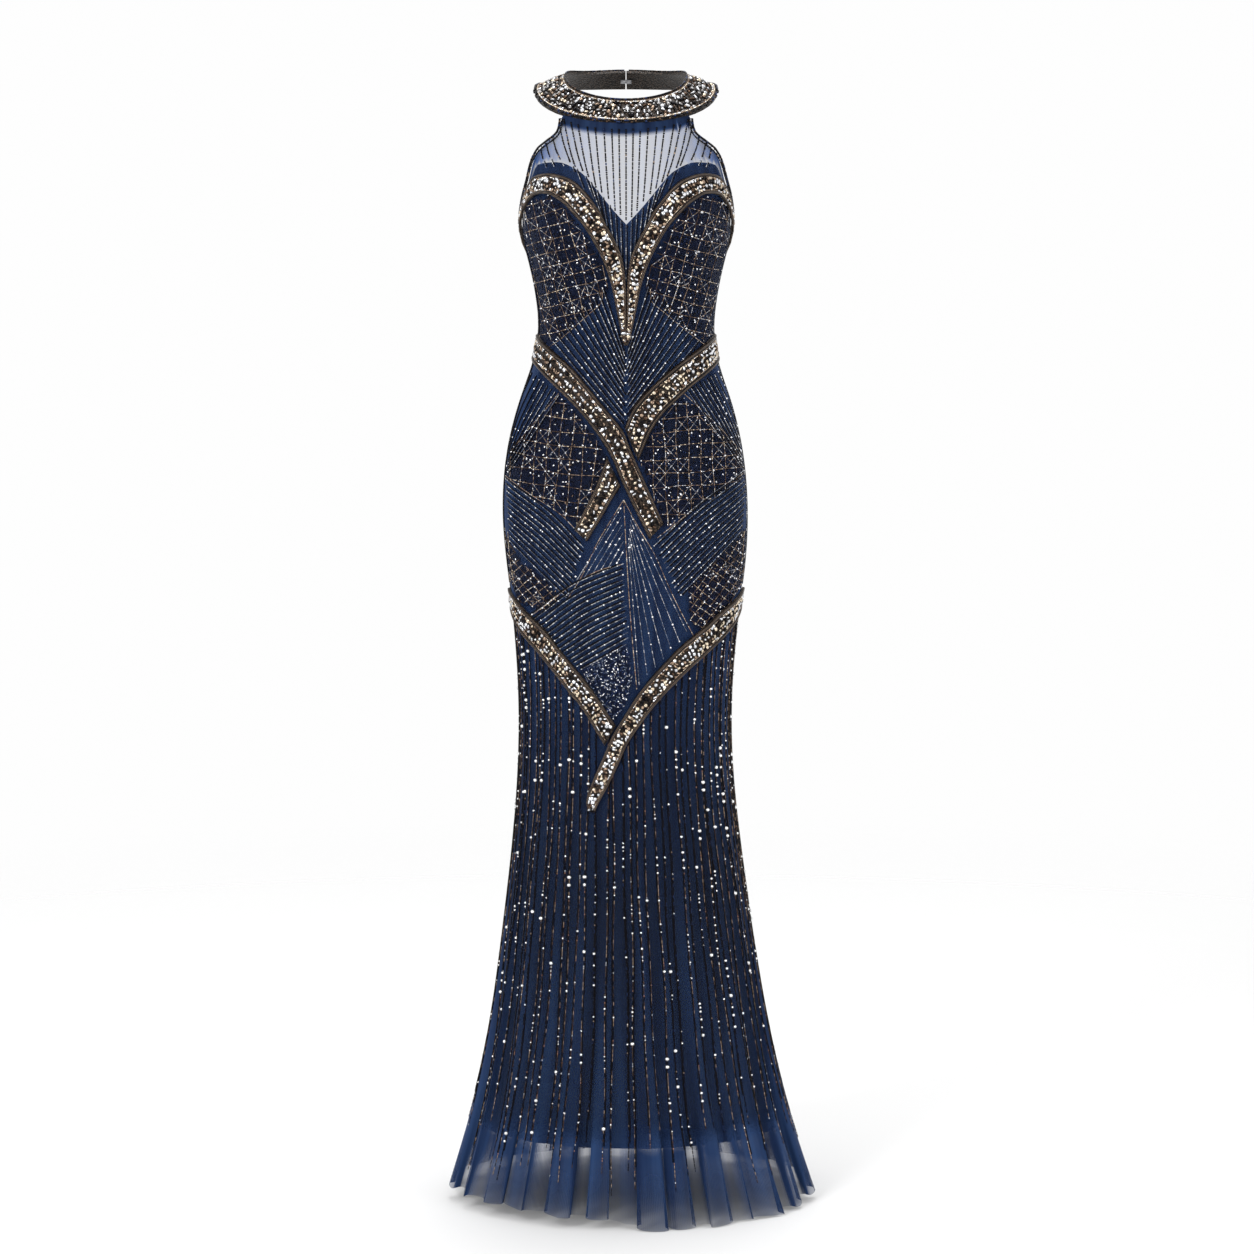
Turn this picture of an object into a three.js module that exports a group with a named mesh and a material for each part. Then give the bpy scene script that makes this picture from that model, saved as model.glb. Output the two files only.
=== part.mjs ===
import * as THREE from 'three';

// Evening gown with a beaded halter collar, worn shape, all sizes in millimetres.
// X runs to the viewer's right, the front faces -Y and Z is up.
// Angles run round the body in degrees: 0 is centre front, 90 the viewer's right side, 180 centre back.
// Heights are measured from the floor, and the whole gown is lowered at the end
// so that the origin lies at the middle of the neck ring.

const neckHeight = 1450;
const tulleWall = 1.0;
const liningWall = 1.0;
const liningGap = { atEdge: 0.9, below: 4, reach: 45 };
const seamGap = 0.3;
const liningHemHeight = 98;
const sideAngle = 90;
const backAngle = 180;
const halfTurn = Math.PI / 180;

// The worn form at each height: how far its middle lies to the viewer's right,
// its half width and its depth to the front and back.
const bodySections = [
  { height: 0, middle: 7, side: 235, front: 199, back: 209 },
  { height: 41, middle: 6.5, side: 221, front: 190, back: 200 },
  { height: 68, middle: 6, side: 212, front: 183, back: 193 },
  { height: 122, middle: 5.5, side: 198, front: 171, back: 179 },
  { height: 176, middle: 5, side: 187, front: 160, back: 167 },
  { height: 230, middle: 4.5, side: 178, front: 150, back: 156 },
  { height: 284, middle: 4, side: 171, front: 142, back: 147 },
  { height: 337, middle: 3, side: 165, front: 134, back: 138 },
  { height: 390, middle: 2, side: 158.5, front: 126, back: 129 },
  { height: 444, middle: 1, side: 152, front: 117, back: 119 },
  { height: 500, middle: 0, side: 145, front: 111, back: 111 },
  { height: 577, middle: -1, side: 139, front: 107.5, back: 107 },
  { height: 630, middle: -1.5, side: 137, front: 106.5, back: 106.5 },
  { height: 683, middle: -1, side: 139, front: 106.5, back: 109 },
  { height: 735, middle: -0.5, side: 143, front: 107, back: 113 },
  { height: 788, middle: 0, side: 148.5, front: 106, back: 119 },
  { height: 841, middle: 0, side: 155, front: 104, back: 123 },
  { height: 893, middle: -1, side: 158.5, front: 101, back: 123 },
  { height: 945, middle: -1.5, side: 157, front: 98, back: 117 },
  { height: 997, middle: -1.5, side: 150, front: 95, back: 106 },
  { height: 1049, middle: -1, side: 136.5, front: 91, back: 93 },
  { height: 1075, middle: -1, side: 127, front: 88.5, back: 87 },
  { height: 1101, middle: -0.5, side: 118.5, front: 87, back: 82 },
  { height: 1127, middle: 0, side: 113.5, front: 87.5, back: 80 },
  { height: 1153, middle: 0.5, side: 112.5, front: 90, back: 79 },
  { height: 1179, middle: 0.5, side: 115.5, front: 95, back: 81 },
  { height: 1205, middle: 0.5, side: 120, front: 101, back: 85 },
  { height: 1231, middle: 0.5, side: 126, front: 107, back: 89 },
  { height: 1257, middle: 0.5, side: 133, front: 111, back: 93 },
  { height: 1283, middle: 0.5, side: 135.5, front: 113, back: 96 },
  { height: 1308, middle: 1, side: 132.5, front: 112, back: 98 },
  { height: 1334, middle: 1, side: 128.5, front: 108, back: 100 },
  { height: 1360, middle: 0.5, side: 126.5, front: 103, back: 101 },
  { height: 1405, middle: 0, side: 120.5, front: 93, back: 98 },
  { height: 1447, middle: 0, side: 117, front: 85.5, back: 92 },
];

// The two cups stand out from the chest, with a slight hollow between them.
const cup = { angle: 35, spread: 22, height: 1280, reach: 54, depth: 12 };

// Each flared fold of the skirt: where it stands, half its spread in degrees,
// how far it stands out at the hem and the height where it starts.
const skirtFolds = [
  { angle: -170, spread: 6, depth: 13, start: 520 },
  { angle: -157, spread: 7, depth: 14, start: 640 },
  { angle: -143, spread: 7, depth: 12, start: 480 },
  { angle: -130, spread: 6, depth: 15, start: 560 },
  { angle: -116, spread: 8, depth: 13, start: 600 },
  { angle: -101, spread: 7, depth: 12, start: 460 },
  { angle: -80, spread: 9, depth: 12, start: 560 },
  { angle: -65, spread: 7, depth: 14, start: 520 },
  { angle: -51, spread: 7, depth: 13, start: 640 },
  { angle: -36, spread: 8, depth: 12, start: 600 },
  { angle: -22, spread: 6, depth: 15, start: 560 },
  { angle: -11, spread: 5, depth: 10, start: 470 },
  { angle: -2, spread: 5, depth: 9, start: 420 },
  { angle: 7, spread: 5, depth: 17, start: 600 },
  { angle: 16, spread: 5, depth: 13, start: 520 },
  { angle: 27, spread: 6, depth: 14, start: 640 },
  { angle: 38, spread: 6, depth: 10, start: 460 },
  { angle: 50, spread: 7, depth: 15, start: 560 },
  { angle: 63, spread: 7, depth: 13, start: 600 },
  { angle: 78, spread: 8, depth: 13, start: 520 },
  { angle: 101, spread: 7, depth: 13, start: 500 },
  { angle: 114, spread: 6, depth: 12, start: 620 },
  { angle: 127, spread: 7, depth: 15, start: 540 },
  { angle: 141, spread: 7, depth: 13, start: 640 },
  { angle: 155, spread: 7, depth: 12, start: 480 },
  { angle: 168, spread: 6, depth: 14, start: 580 },
];

// Height of the cut edge of the skirt above the floor, which is uneven as worn.
const hemEdge = [
  { angle: -180, height: 9 },
  { angle: -120, height: 13 },
  { angle: -75, height: 18 },
  { angle: -30, height: 17 },
  { angle: -6, height: 12 },
  { angle: 5, height: 3 },
  { angle: 35, height: 3 },
  { angle: 60, height: 6 },
  { angle: 90, height: 15 },
  { angle: 130, height: 11 },
  { angle: 180, height: 9 },
];
const foldHemDrop = 3;

// The neck ring lies on the shoulders: inner and outer edge of the strip.
const collarInner = {
  side: 75, front: 62, back: 66, frontHeight: 1435, sideHeight: 1465, backHeight: 1474,
};
const collarOuter = {
  side: 118, front: 93, back: 92, frontHeight: 1405, sideHeight: 1447, backHeight: 1453,
};
const collarSteps = 44;
const collarOpening = 0.35;
// Section of the collar strip: share of its width from the inner edge, and lift from its middle face.
const collarProfile = [
  { share: 0, lift: -1.4 },
  { share: 0.03, lift: 3.2 },
  { share: 0.16, lift: 1.8 },
  { share: 0.5, lift: 3.0 },
  { share: 0.84, lift: 1.8 },
  { share: 0.97, lift: 3.2 },
  { share: 1, lift: -1.4 },
];
const yokeDrop = 1.1;

// Upper edge of the front: the cut away armhole, from the collar to the side seam.
const armholeEdge = [
  { angle: 43.5, height: 1417 },
  { angle: 45, height: 1396 },
  { angle: 54, height: 1384 },
  { angle: 62.5, height: 1375 },
  { angle: 69, height: 1363 },
  { angle: 73, height: 1351 },
  { angle: 78, height: 1334 },
  { angle: 84, height: 1317 },
  { angle: 90, height: 1302 },
];
const backEdge = { sideHeight: 1302, centreHeight: 1165, bend: 1.8 };

// Sweetheart edge of the opaque lining, alike on both sides of the centre front.
const sweetheartEdge = [
  { angle: 0, height: 1278 },
  { angle: 6, height: 1293 },
  { angle: 12, height: 1310 },
  { angle: 18, height: 1326 },
  { angle: 26, height: 1345 },
  { angle: 36, height: 1355 },
  { angle: 48, height: 1360 },
  { angle: 60, height: 1357 },
  { angle: 69, height: 1353 },
  { angle: 73, height: 1343 },
  { angle: 78, height: 1328 },
  { angle: 84, height: 1312 },
  { angle: 90, height: 1297 },
];
const liningEdgeDrop = 4;

// Seam between bodice and skirt under the hip bands, a V whose point is left of the centre.
const hipSeam = [
  { angle: -180, height: 735 },
  { angle: -135, height: 748 },
  { angle: -90, height: 790 },
  { angle: -60, height: 760 },
  { angle: -36, height: 714 },
  { angle: -20, height: 676 },
  { angle: -6.5, height: 625 },
  { angle: 5, height: 657 },
  { angle: 20, height: 698 },
  { angle: 40, height: 739 },
  { angle: 60, height: 768 },
  { angle: 90, height: 792 },
  { angle: 135, height: 748 },
  { angle: 180, height: 735 },
];

// Bands: each row is one section across the band, from its upper to its lower edge.
const bustBandRows = [
  { upperAngle: 89.7, upperHeight: 1287, lowerAngle: 89.7, lowerHeight: 1266 },
  { upperAngle: 84, upperHeight: 1302, lowerAngle: 84, lowerHeight: 1280 },
  { upperAngle: 77, upperHeight: 1320, lowerAngle: 76, lowerHeight: 1297 },
  { upperAngle: 66, upperHeight: 1338, lowerAngle: 62, lowerHeight: 1314 },
  { upperAngle: 50, upperHeight: 1343, lowerAngle: 47, lowerHeight: 1316 },
  { upperAngle: 37, upperHeight: 1339, lowerAngle: 40, lowerHeight: 1311 },
  { upperAngle: 28, upperHeight: 1330, lowerAngle: 34, lowerHeight: 1304 },
  { upperAngle: 21, upperHeight: 1316, lowerAngle: 29, lowerHeight: 1294 },
  { upperAngle: 14, upperHeight: 1295, lowerAngle: 23, lowerHeight: 1279 },
  { upperAngle: 10, upperHeight: 1276, lowerAngle: 19, lowerHeight: 1263 },
  { upperAngle: 6, upperHeight: 1258, lowerAngle: 15, lowerHeight: 1242 },
  { upperAngle: 2, upperHeight: 1234, lowerAngle: 11.5, lowerHeight: 1220 },
  { upperAngle: 0.4, upperHeight: 1200, lowerAngle: 8.5, lowerHeight: 1196 },
  { upperAngle: 0.4, upperHeight: 1160, lowerAngle: 5, lowerHeight: 1159 },
  { upperAngle: 0.4, upperHeight: 1124, lowerAngle: 1.4, lowerHeight: 1127 },
];
const waistOverRows = [
  { upperAngle: -89.7, upperHeight: 1136, lowerAngle: -89.7, lowerHeight: 1103 },
  { upperAngle: -70, upperHeight: 1127, lowerAngle: -76, lowerHeight: 1097 },
  { upperAngle: -53, upperHeight: 1115, lowerAngle: -62, lowerHeight: 1088 },
  { upperAngle: -36, upperHeight: 1097, lowerAngle: -46, lowerHeight: 1072 },
  { upperAngle: -22, upperHeight: 1072, lowerAngle: -31, lowerHeight: 1051 },
  { upperAngle: -11, upperHeight: 1045, lowerAngle: -20, lowerHeight: 1028 },
  { upperAngle: -1, upperHeight: 1016, lowerAngle: -10.5, lowerHeight: 999 },
  { upperAngle: 2.5, upperHeight: 994, lowerAngle: -6, lowerHeight: 979 },
  { upperAngle: 7, upperHeight: 966, lowerAngle: -1.5, lowerHeight: 950 },
  { upperAngle: 13, upperHeight: 928, lowerAngle: 4.5, lowerHeight: 914 },
  { upperAngle: 18, upperHeight: 896, lowerAngle: 11, lowerHeight: 877 },
];
const waistUnderUpperRows = [
  { upperAngle: 89.7, upperHeight: 1137, lowerAngle: 89.7, lowerHeight: 1103 },
  { upperAngle: 70, upperHeight: 1129, lowerAngle: 75, lowerHeight: 1096 },
  { upperAngle: 53, upperHeight: 1118, lowerAngle: 60, lowerHeight: 1087 },
  { upperAngle: 36, upperHeight: 1102, lowerAngle: 43, lowerHeight: 1072 },
  { upperAngle: 22, upperHeight: 1083, lowerAngle: 31, lowerHeight: 1056 },
  { upperAngle: 12, upperHeight: 1065, lowerAngle: 21, lowerHeight: 1038 },
  { upperAngle: 4, upperHeight: 1044, lowerAngle: 13, lowerHeight: 1013 },
  { upperAngle: -0.2, upperHeight: 1020, lowerAngle: 6.5, lowerHeight: 976 },
];
const waistUnderLowerRows = [
  { upperAngle: -8.6, upperHeight: 982, lowerAngle: -2, lowerHeight: 944 },
  { upperAngle: -13.5, upperHeight: 944, lowerAngle: -6.5, lowerHeight: 925 },
  { upperAngle: -19, upperHeight: 914, lowerAngle: -12, lowerHeight: 899 },
  { upperAngle: -24, upperHeight: 889, lowerAngle: -18, lowerHeight: 874 },
];
const hipOverRows = [
  { upperAngle: 89.7, upperHeight: 806, lowerAngle: 89.7, lowerHeight: 780 },
  { upperAngle: 72, upperHeight: 794, lowerAngle: 77, lowerHeight: 765 },
  { upperAngle: 56, upperHeight: 780, lowerAngle: 65, lowerHeight: 750 },
  { upperAngle: 45, upperHeight: 763, lowerAngle: 53, lowerHeight: 734 },
  { upperAngle: 37, upperHeight: 751, lowerAngle: 45, lowerHeight: 722 },
  { upperAngle: 29, upperHeight: 737, lowerAngle: 37, lowerHeight: 709 },
  { upperAngle: 21, upperHeight: 718, lowerAngle: 29, lowerHeight: 693 },
  { upperAngle: 13, upperHeight: 697, lowerAngle: 21, lowerHeight: 675 },
  { upperAngle: 6, upperHeight: 675, lowerAngle: 14, lowerHeight: 656 },
  { upperAngle: -1, upperHeight: 647, lowerAngle: 7, lowerHeight: 633 },
  { upperAngle: -7, upperHeight: 622, lowerAngle: 1, lowerHeight: 611 },
  { upperAngle: -12, upperHeight: 594, lowerAngle: -3.5, lowerHeight: 586 },
  { upperAngle: -18, upperHeight: 560, lowerAngle: -9.5, lowerHeight: 556 },
  { upperAngle: -20.5, upperHeight: 538, lowerAngle: -14, lowerHeight: 536 },
  { upperAngle: -18.5, upperHeight: 524, lowerAngle: -16.5, lowerHeight: 523 },
];
const hipUnderRows = [
  { upperAngle: -89.7, upperHeight: 805, lowerAngle: -89.7, lowerHeight: 779 },
  { upperAngle: -73, upperHeight: 794, lowerAngle: -81, lowerHeight: 766 },
  { upperAngle: -62, upperHeight: 781, lowerAngle: -71, lowerHeight: 753 },
  { upperAngle: -52, upperHeight: 768, lowerAngle: -62, lowerHeight: 741 },
  { upperAngle: -43, upperHeight: 752, lowerAngle: -53, lowerHeight: 728 },
  { upperAngle: -36, upperHeight: 733, lowerAngle: -45, lowerHeight: 712 },
  { upperAngle: -29, upperHeight: 715, lowerAngle: -38, lowerHeight: 696 },
  { upperAngle: -22, upperHeight: 696, lowerAngle: -31, lowerHeight: 677 },
  { upperAngle: -14, upperHeight: 670, lowerAngle: -23, lowerHeight: 656 },
  { upperAngle: -4.8, upperHeight: 637, lowerAngle: -11, lowerHeight: 610 },
];
// On the back each band runs on in a plain line from the side seam to the zip.
const backBands = [
  { name: 'waist', sideUpper: 1136, sideLower: 1103, centreUpper: 1092, centreLower: 1062, bend: 1.5 },
  { name: 'hip', sideUpper: 805, sideLower: 779, centreUpper: 748, centreLower: 724, bend: 1.6 },
];
const bustBandBackWidth = 21;
const edgingToBand = 7;

// Section of a band: share of its width and lift from the panel,
// raised at both piped edges and in the middle.
const bandProfile = [
  { share: 0, lift: 0.9 },
  { share: 0.03, lift: 3.0 },
  { share: 0.22, lift: 2.2 },
  { share: 0.5, lift: 3.4 },
  { share: 0.78, lift: 2.2 },
  { share: 0.97, lift: 3.0 },
  { share: 1, lift: 0.9 },
  { share: 0.5, lift: 0.9 },
];
const plainBandProfile = [
  { share: 0, lift: 1.0 },
  { share: 0, lift: 2.6 },
  { share: 0.5, lift: 3.2 },
  { share: 1, lift: 2.6 },
  { share: 1, lift: 1.0 },
];
const edgingWidth = 6;
const edgingStart = { turn: 0.2, drop: 2 };
const edgingBackSteps = 11;
const edgingProfile = [
  { share: 0, lift: 0.8 },
  { share: 0, lift: 2.2 },
  { share: 0.5, lift: 2.8 },
  { share: 1, lift: 2.2 },
  { share: 1, lift: 0.8 },
];
const bandStep = 7;

const zipHalfWidth = 2.2;
const zipClearance = 0.35;
const zipRise = 0.4;
const zipTopDrop = 1;
const zipSteps = 12;
const backColumns = 10;
const backBandSteps = 15;
const hookPlate = { width: 14, height: 7, thickness: 1.2, gap: 0.4 };

const colours = {
  tulle: 0x24365e,
  yoke: 0x8f9bb4,
  lining: 0x182748,
  band: 0x6d5f50,
  edging: 0x1b1a22,
  metal: 0x9a9488,
};

// Smooth value of one column of a table at a place between its rows.
function between(rows, column, at, place) {
  const last = rows.length - 1;
  if (at <= rows[0][place]) return rows[0][column];
  if (at >= rows[last][place]) return rows[last][column];
  let low = 0;
  while (rows[low + 1][place] < at) low += 1;
  const slopeAt = (row) => {
    const before = rows[Math.max(0, row - 1)];
    const after = rows[Math.min(last, row + 1)];
    return (after[column] - before[column]) / (after[place] - before[place]);
  };
  const from = rows[low];
  const to = rows[low + 1];
  const span = to[place] - from[place];
  const t = (at - from[place]) / span;
  const rise = slopeAt(low) * span;
  const fall = slopeAt(low + 1) * span;
  const t2 = t * t;
  const t3 = t2 * t;
  return from[column] * (2 * t3 - 3 * t2 + 1) + rise * (t3 - 2 * t2 + t)
    + to[column] * (3 * t2 - 2 * t3) + fall * (t3 - t2);
}

// Straight value of one column of a table between its rows, for edges with corners.
function straightBetween(rows, column, at, place) {
  const last = rows.length - 1;
  if (at <= rows[0][place]) return rows[0][column];
  if (at >= rows[last][place]) return rows[last][column];
  let low = 0;
  while (rows[low + 1][place] < at) low += 1;
  const t = (at - rows[low][place]) / (rows[low + 1][place] - rows[low][place]);
  return rows[low][column] * (1 - t) + rows[low + 1][column] * t;
}

const bell = (distance, reach) => Math.exp(-((distance / reach) ** 2));

function easeIn(share) {
  const held = Math.min(1, Math.max(0, share));
  return held * held * (3 - 2 * held);
}

// Point of the smooth worn form, without skirt folds.
function bodyPoint(angle, height) {
  const middle = between(bodySections, 'middle', height, 'height');
  const side = between(bodySections, 'side', height, 'height');
  const front = between(bodySections, 'front', height, 'height');
  const back = between(bodySections, 'back', height, 'height');
  const turn = angle * halfTurn;
  const depth = Math.cos(turn) > 0 ? front : back;
  const lift = cup.depth
    * bell(Math.abs(angle) - cup.angle, cup.spread)
    * bell(height - cup.height, cup.reach);
  return new THREE.Vector3(
    middle + (side + lift) * Math.sin(turn),
    -(depth + lift) * Math.cos(turn),
    height,
  );
}

// How far the skirt stands out of the smooth form at a place.
function foldDepth(angle, height) {
  let depth = 0;
  for (const fold of skirtFolds) {
    const away = Math.abs(angle - fold.angle);
    if (away < fold.spread) {
      const across = Math.cos((away / fold.spread) * (Math.PI / 2));
      depth += fold.depth * across * across * easeIn((fold.start - height) / fold.start);
    }
  }
  return depth;
}

function skirtPoint(angle, height) {
  const point = bodyPoint(angle, height);
  const depth = foldDepth(angle, height);
  const turn = angle * halfTurn;
  point.x += depth * Math.sin(turn);
  point.y -= depth * Math.cos(turn);
  return point;
}

// Direction straight out of a surface given as a function of angle and height.
function outward(surface, angle, height) {
  const angleStep = 0.4;
  const heightStep = 2;
  const along = surface(angle + angleStep, height).sub(surface(angle - angleStep, height));
  const up = surface(angle, height + heightStep).sub(surface(angle, height - heightStep));
  return along.cross(up).normalize();
}

function movedOut(surface, angle, height, distance) {
  return surface(angle, height).addScaledVector(outward(surface, angle, height), distance);
}

function signedVolume(points, triangles) {
  let volume = 0;
  const cross = new THREE.Vector3();
  for (const [a, b, c] of triangles) {
    volume += points[a].dot(cross.crossVectors(points[b], points[c])) / 6;
  }
  return volume;
}

// One closed body from points and triangles, turned so that its faces point out.
function closedBody(points, triangles) {
  const faces = signedVolume(points, triangles) < 0
    ? triangles.map(([a, b, c]) => [a, c, b])
    : triangles;
  const geometry = new THREE.BufferGeometry();
  const positions = points.flatMap((point) => point.toArray());
  geometry.setAttribute('position', new THREE.Float32BufferAttribute(positions, 3));
  geometry.setIndex(faces.flat());
  geometry.computeVertexNormals();
  return geometry;
}

function pushQuad(triangles, a, b, c, d) {
  triangles.push([a, b, c], [a, c, d]);
}

// A wall of cloth: columns of points at the given angles, each from its upper to its lower edge.
// The inset says how far its outer face lies inside the surface, given the distance below the upper edge.
function clothWall({
  angles, steps, upper, lower, surface, wall, inset = () => 0, share = (t) => t,
}) {
  const points = [];
  const rows = steps + 1;
  for (const layer of [0, wall]) {
    for (const angle of angles) {
      const top = upper(angle);
      const bottom = lower(angle);
      for (let step = 0; step < rows; step += 1) {
        const drop = (top - bottom) * share(step / steps);
        points.push(movedOut(surface, angle, top - drop, -inset(drop) - layer));
      }
    }
  }
  const layerSize = angles.length * rows;
  const at = (layer, column, row) => layer * layerSize + column * rows + row;
  const triangles = [];
  for (let column = 0; column + 1 < angles.length; column += 1) {
    for (let row = 0; row < steps; row += 1) {
      pushQuad(triangles, at(0, column, row), at(0, column, row + 1),
        at(0, column + 1, row + 1), at(0, column + 1, row));
      pushQuad(triangles, at(1, column, row), at(1, column + 1, row),
        at(1, column + 1, row + 1), at(1, column, row + 1));
    }
    pushQuad(triangles, at(0, column, 0), at(0, column + 1, 0), at(1, column + 1, 0), at(1, column, 0));
    pushQuad(triangles, at(0, column, steps), at(1, column, steps),
      at(1, column + 1, steps), at(0, column + 1, steps));
  }
  const end = angles.length - 1;
  for (let row = 0; row < steps; row += 1) {
    pushQuad(triangles, at(0, 0, row), at(1, 0, row), at(1, 0, row + 1), at(0, 0, row + 1));
    pushQuad(triangles, at(0, end, row), at(0, end, row + 1), at(1, end, row + 1), at(1, end, row));
  }
  return closedBody(points, triangles);
}

// A strip from a row of equal rings of points, closed at both ends.
function loft(rings) {
  const size = rings[0].length;
  const points = rings.flat();
  const triangles = [];
  for (let ring = 0; ring + 1 < rings.length; ring += 1) {
    for (let side = 0; side < size; side += 1) {
      const next = (side + 1) % size;
      pushQuad(triangles, ring * size + side, ring * size + next,
        (ring + 1) * size + next, (ring + 1) * size + side);
    }
  }
  const lastRing = (rings.length - 1) * size;
  for (const [a, b, c] of capFaces(rings[0])) triangles.push([a, c, b]);
  for (const [a, b, c] of capFaces(rings[rings.length - 1])) {
    triangles.push([lastRing + a, lastRing + b, lastRing + c]);
  }
  return closedBody(points, triangles);
}

// Triangles that fill a ring of points, wound the same way as the ring.
function capFaces(ring) {
  const across = ring[ring.length - 2].clone().sub(ring[0]).normalize();
  const up = ring[1].clone().sub(ring[0]);
  up.addScaledVector(across, -up.dot(across)).normalize();
  const outline = ring.map((point) => {
    const from = point.clone().sub(ring[0]);
    return new THREE.Vector2(from.dot(across), from.dot(up));
  });
  const turn = Math.sign(THREE.ShapeUtils.area(outline));
  return THREE.ShapeUtils.triangulateShape(outline, []).map(([a, b, c]) => {
    const faceTurn = Math.sign(THREE.ShapeUtils.area([outline[a], outline[b], outline[c]]));
    return faceTurn === turn ? [a, b, c] : [a, c, b];
  });
}

// A band that lies on a surface: sections resampled smoothly, each lifted off the surface by its profile.
function bandOn(surface, rows, profile) {
  const placed = rows.map((row, index) => ({ ...row, index }));
  const rings = [];
  for (let index = 0; index + 1 < placed.length; index += 1) {
    const turned = Math.abs(placed[index + 1].upperAngle - placed[index].upperAngle);
    const parts = Math.max(1, Math.ceil(turned / bandStep));
    for (let part = 0; part < parts; part += 1) rings.push(index + part / parts);
  }
  rings.push(placed.length - 1);
  return loft(rings.map((at) => {
    const section = {};
    for (const column of ['upperAngle', 'upperHeight', 'lowerAngle', 'lowerHeight']) {
      section[column] = between(placed, column, at, 'index');
    }
    return profile.map(({ share, lift }) => movedOut(
      surface,
      section.upperAngle + (section.lowerAngle - section.upperAngle) * share,
      section.upperHeight + (section.lowerHeight - section.upperHeight) * share,
      lift,
    ));
  }));
}

const mirrored = (rows) => rows.map((row) => ({
  ...row,
  upperAngle: -row.upperAngle,
  lowerAngle: -row.lowerAngle,
}));

// Angles from one edge to another with even steps.
function evenAngles(from, to, steps) {
  return Array.from({ length: steps + 1 }, (unused, step) => from + ((to - from) * step) / steps);
}

// Angle that moves a point of the form sideways by a distance, near the side or the centre back.
function angleFor(distance, radius) {
  return distance / radius / halfTurn;
}

// Depth of the back where the zip and the centre seam run, and of the side seam where it is closest.
const waistBackDepth = 76;
const hipBackDepth = 107;
const sideSeamDepth = 86;
const sideSeamAngle = angleFor(seamGap, sideSeamDepth);

function collarEdgePoint(edge, angle) {
  const turn = angle * halfTurn;
  const facing = Math.cos(turn);
  const depth = facing > 0 ? edge.front : edge.back;
  const climb = edge.sideHeight - edge.frontHeight;
  // Behind the shoulder the ring carries on its rise for a while, then levels out to the nape.
  const height = facing > 0
    ? edge.frontHeight + climb * (1 - facing)
    : edge.sideHeight - climb * facing * (1 + facing) ** 2 + (edge.backHeight - edge.sideHeight) * facing ** 2;
  return new THREE.Vector3(edge.side * Math.sin(turn), -depth * facing, height);
}

function collarRing(angle) {
  const inner = collarEdgePoint(collarInner, angle);
  const outer = collarEdgePoint(collarOuter, angle);
  const along = collarEdgePoint(collarOuter, angle + 1).sub(collarEdgePoint(collarOuter, angle - 1));
  const up = outer.clone().sub(inner).cross(along).normalize();
  return collarProfile.map(({ share, lift }) => inner.clone().lerp(outer, share).addScaledVector(up, lift));
}

function buildCollar() {
  const end = backAngle - collarOpening;
  return loft(evenAngles(-end, end, collarSteps).map(collarRing));
}

// Plate of the hook and eye that joins the two ends of the collar at the nape.
function buildCollarHook() {
  const inner = collarEdgePoint(collarInner, backAngle);
  const outer = collarEdgePoint(collarOuter, backAngle);
  const middle = inner.clone().lerp(outer, 0.5);
  const across = outer.clone().sub(inner).normalize();
  const down = new THREE.Vector3(1, 0, 0).cross(across);
  if (down.z > 0) down.negate();
  const face = -collarProfile[0].lift + hookPlate.gap;
  const corners = [face, face + hookPlate.thickness];
  return loft([-hookPlate.width / 2, hookPlate.width / 2].map((x) => {
    const halfHeight = hookPlate.height / 2;
    const outline = [[-halfHeight, 0], [-halfHeight, 1], [halfHeight, 1], [halfHeight, 0]];
    return outline.map(([along, layer]) => middle.clone()
      .add(new THREE.Vector3(x, 0, 0))
      .addScaledVector(across, along)
      .addScaledVector(down, corners[layer]));
  }));
}

const armholeAngle = armholeEdge[0].angle;

function frontUpperEdge(angle) {
  const from = Math.abs(angle);
  if (from > armholeAngle) return straightBetween(armholeEdge, 'height', from, 'angle');
  return collarEdgePoint(collarOuter, from).z - yokeDrop;
}

function backUpperEdge(angle) {
  const share = (backAngle - Math.abs(angle)) / (backAngle - sideAngle);
  return backEdge.centreHeight + (backEdge.sideHeight - backEdge.centreHeight) * share ** backEdge.bend;
}

// The hip seam, with its corners on the columns of the bodice.
function seamHeight(angle) {
  return straightBetween(seamCorners, 'height', angle, 'angle');
}

function hemHeight(angle) {
  const dip = foldDepth(angle, 0) > 0 ? foldHemDrop * (foldDepth(angle, 0) / cup.depth) : 0;
  return between(hemEdge, 'height', angle, 'angle') - dip;
}

// Angles of the front's columns, with one on each corner of the armhole edge and of the V seam.
const halfFrontAngles = [
  0, 6.5, 13, 20, 26, 32, 38, 43.5, 45, 54, 62.5, 69, 73, 78, 84, sideAngle - sideSeamAngle,
];
const liningSkips = [32, 45, 54, 73];
const bothSides = (angles) => [...angles.slice(1).map((angle) => -angle).reverse(), ...angles];
const frontAngles = bothSides(halfFrontAngles);
const liningAngles = bothSides(halfFrontAngles.filter((angle) => !liningSkips.includes(angle)));

// Columns of one half of the back, from the side seam to the zip.
function backAngles(side) {
  const centre = backAngle - angleFor(zipHalfWidth + zipClearance, waistBackDepth);
  return evenAngles(side * (sideAngle + sideSeamAngle), side * centre, backColumns);
}

const seamCorners = [...backAngles(1).reverse().map((angle) => -angle), ...frontAngles, ...backAngles(1)]
  .map((angle) => ({ angle, height: between(hipSeam, 'height', angle, 'angle') }))
  .sort((one, other) => one.angle - other.angle);

function buildFrontUpper() {
  return clothWall({
    angles: frontAngles,
    steps: 24,
    upper: frontUpperEdge,
    lower: (angle) => seamHeight(angle) + seamGap,
    surface: bodyPoint,
    wall: tulleWall,
  });
}

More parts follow.
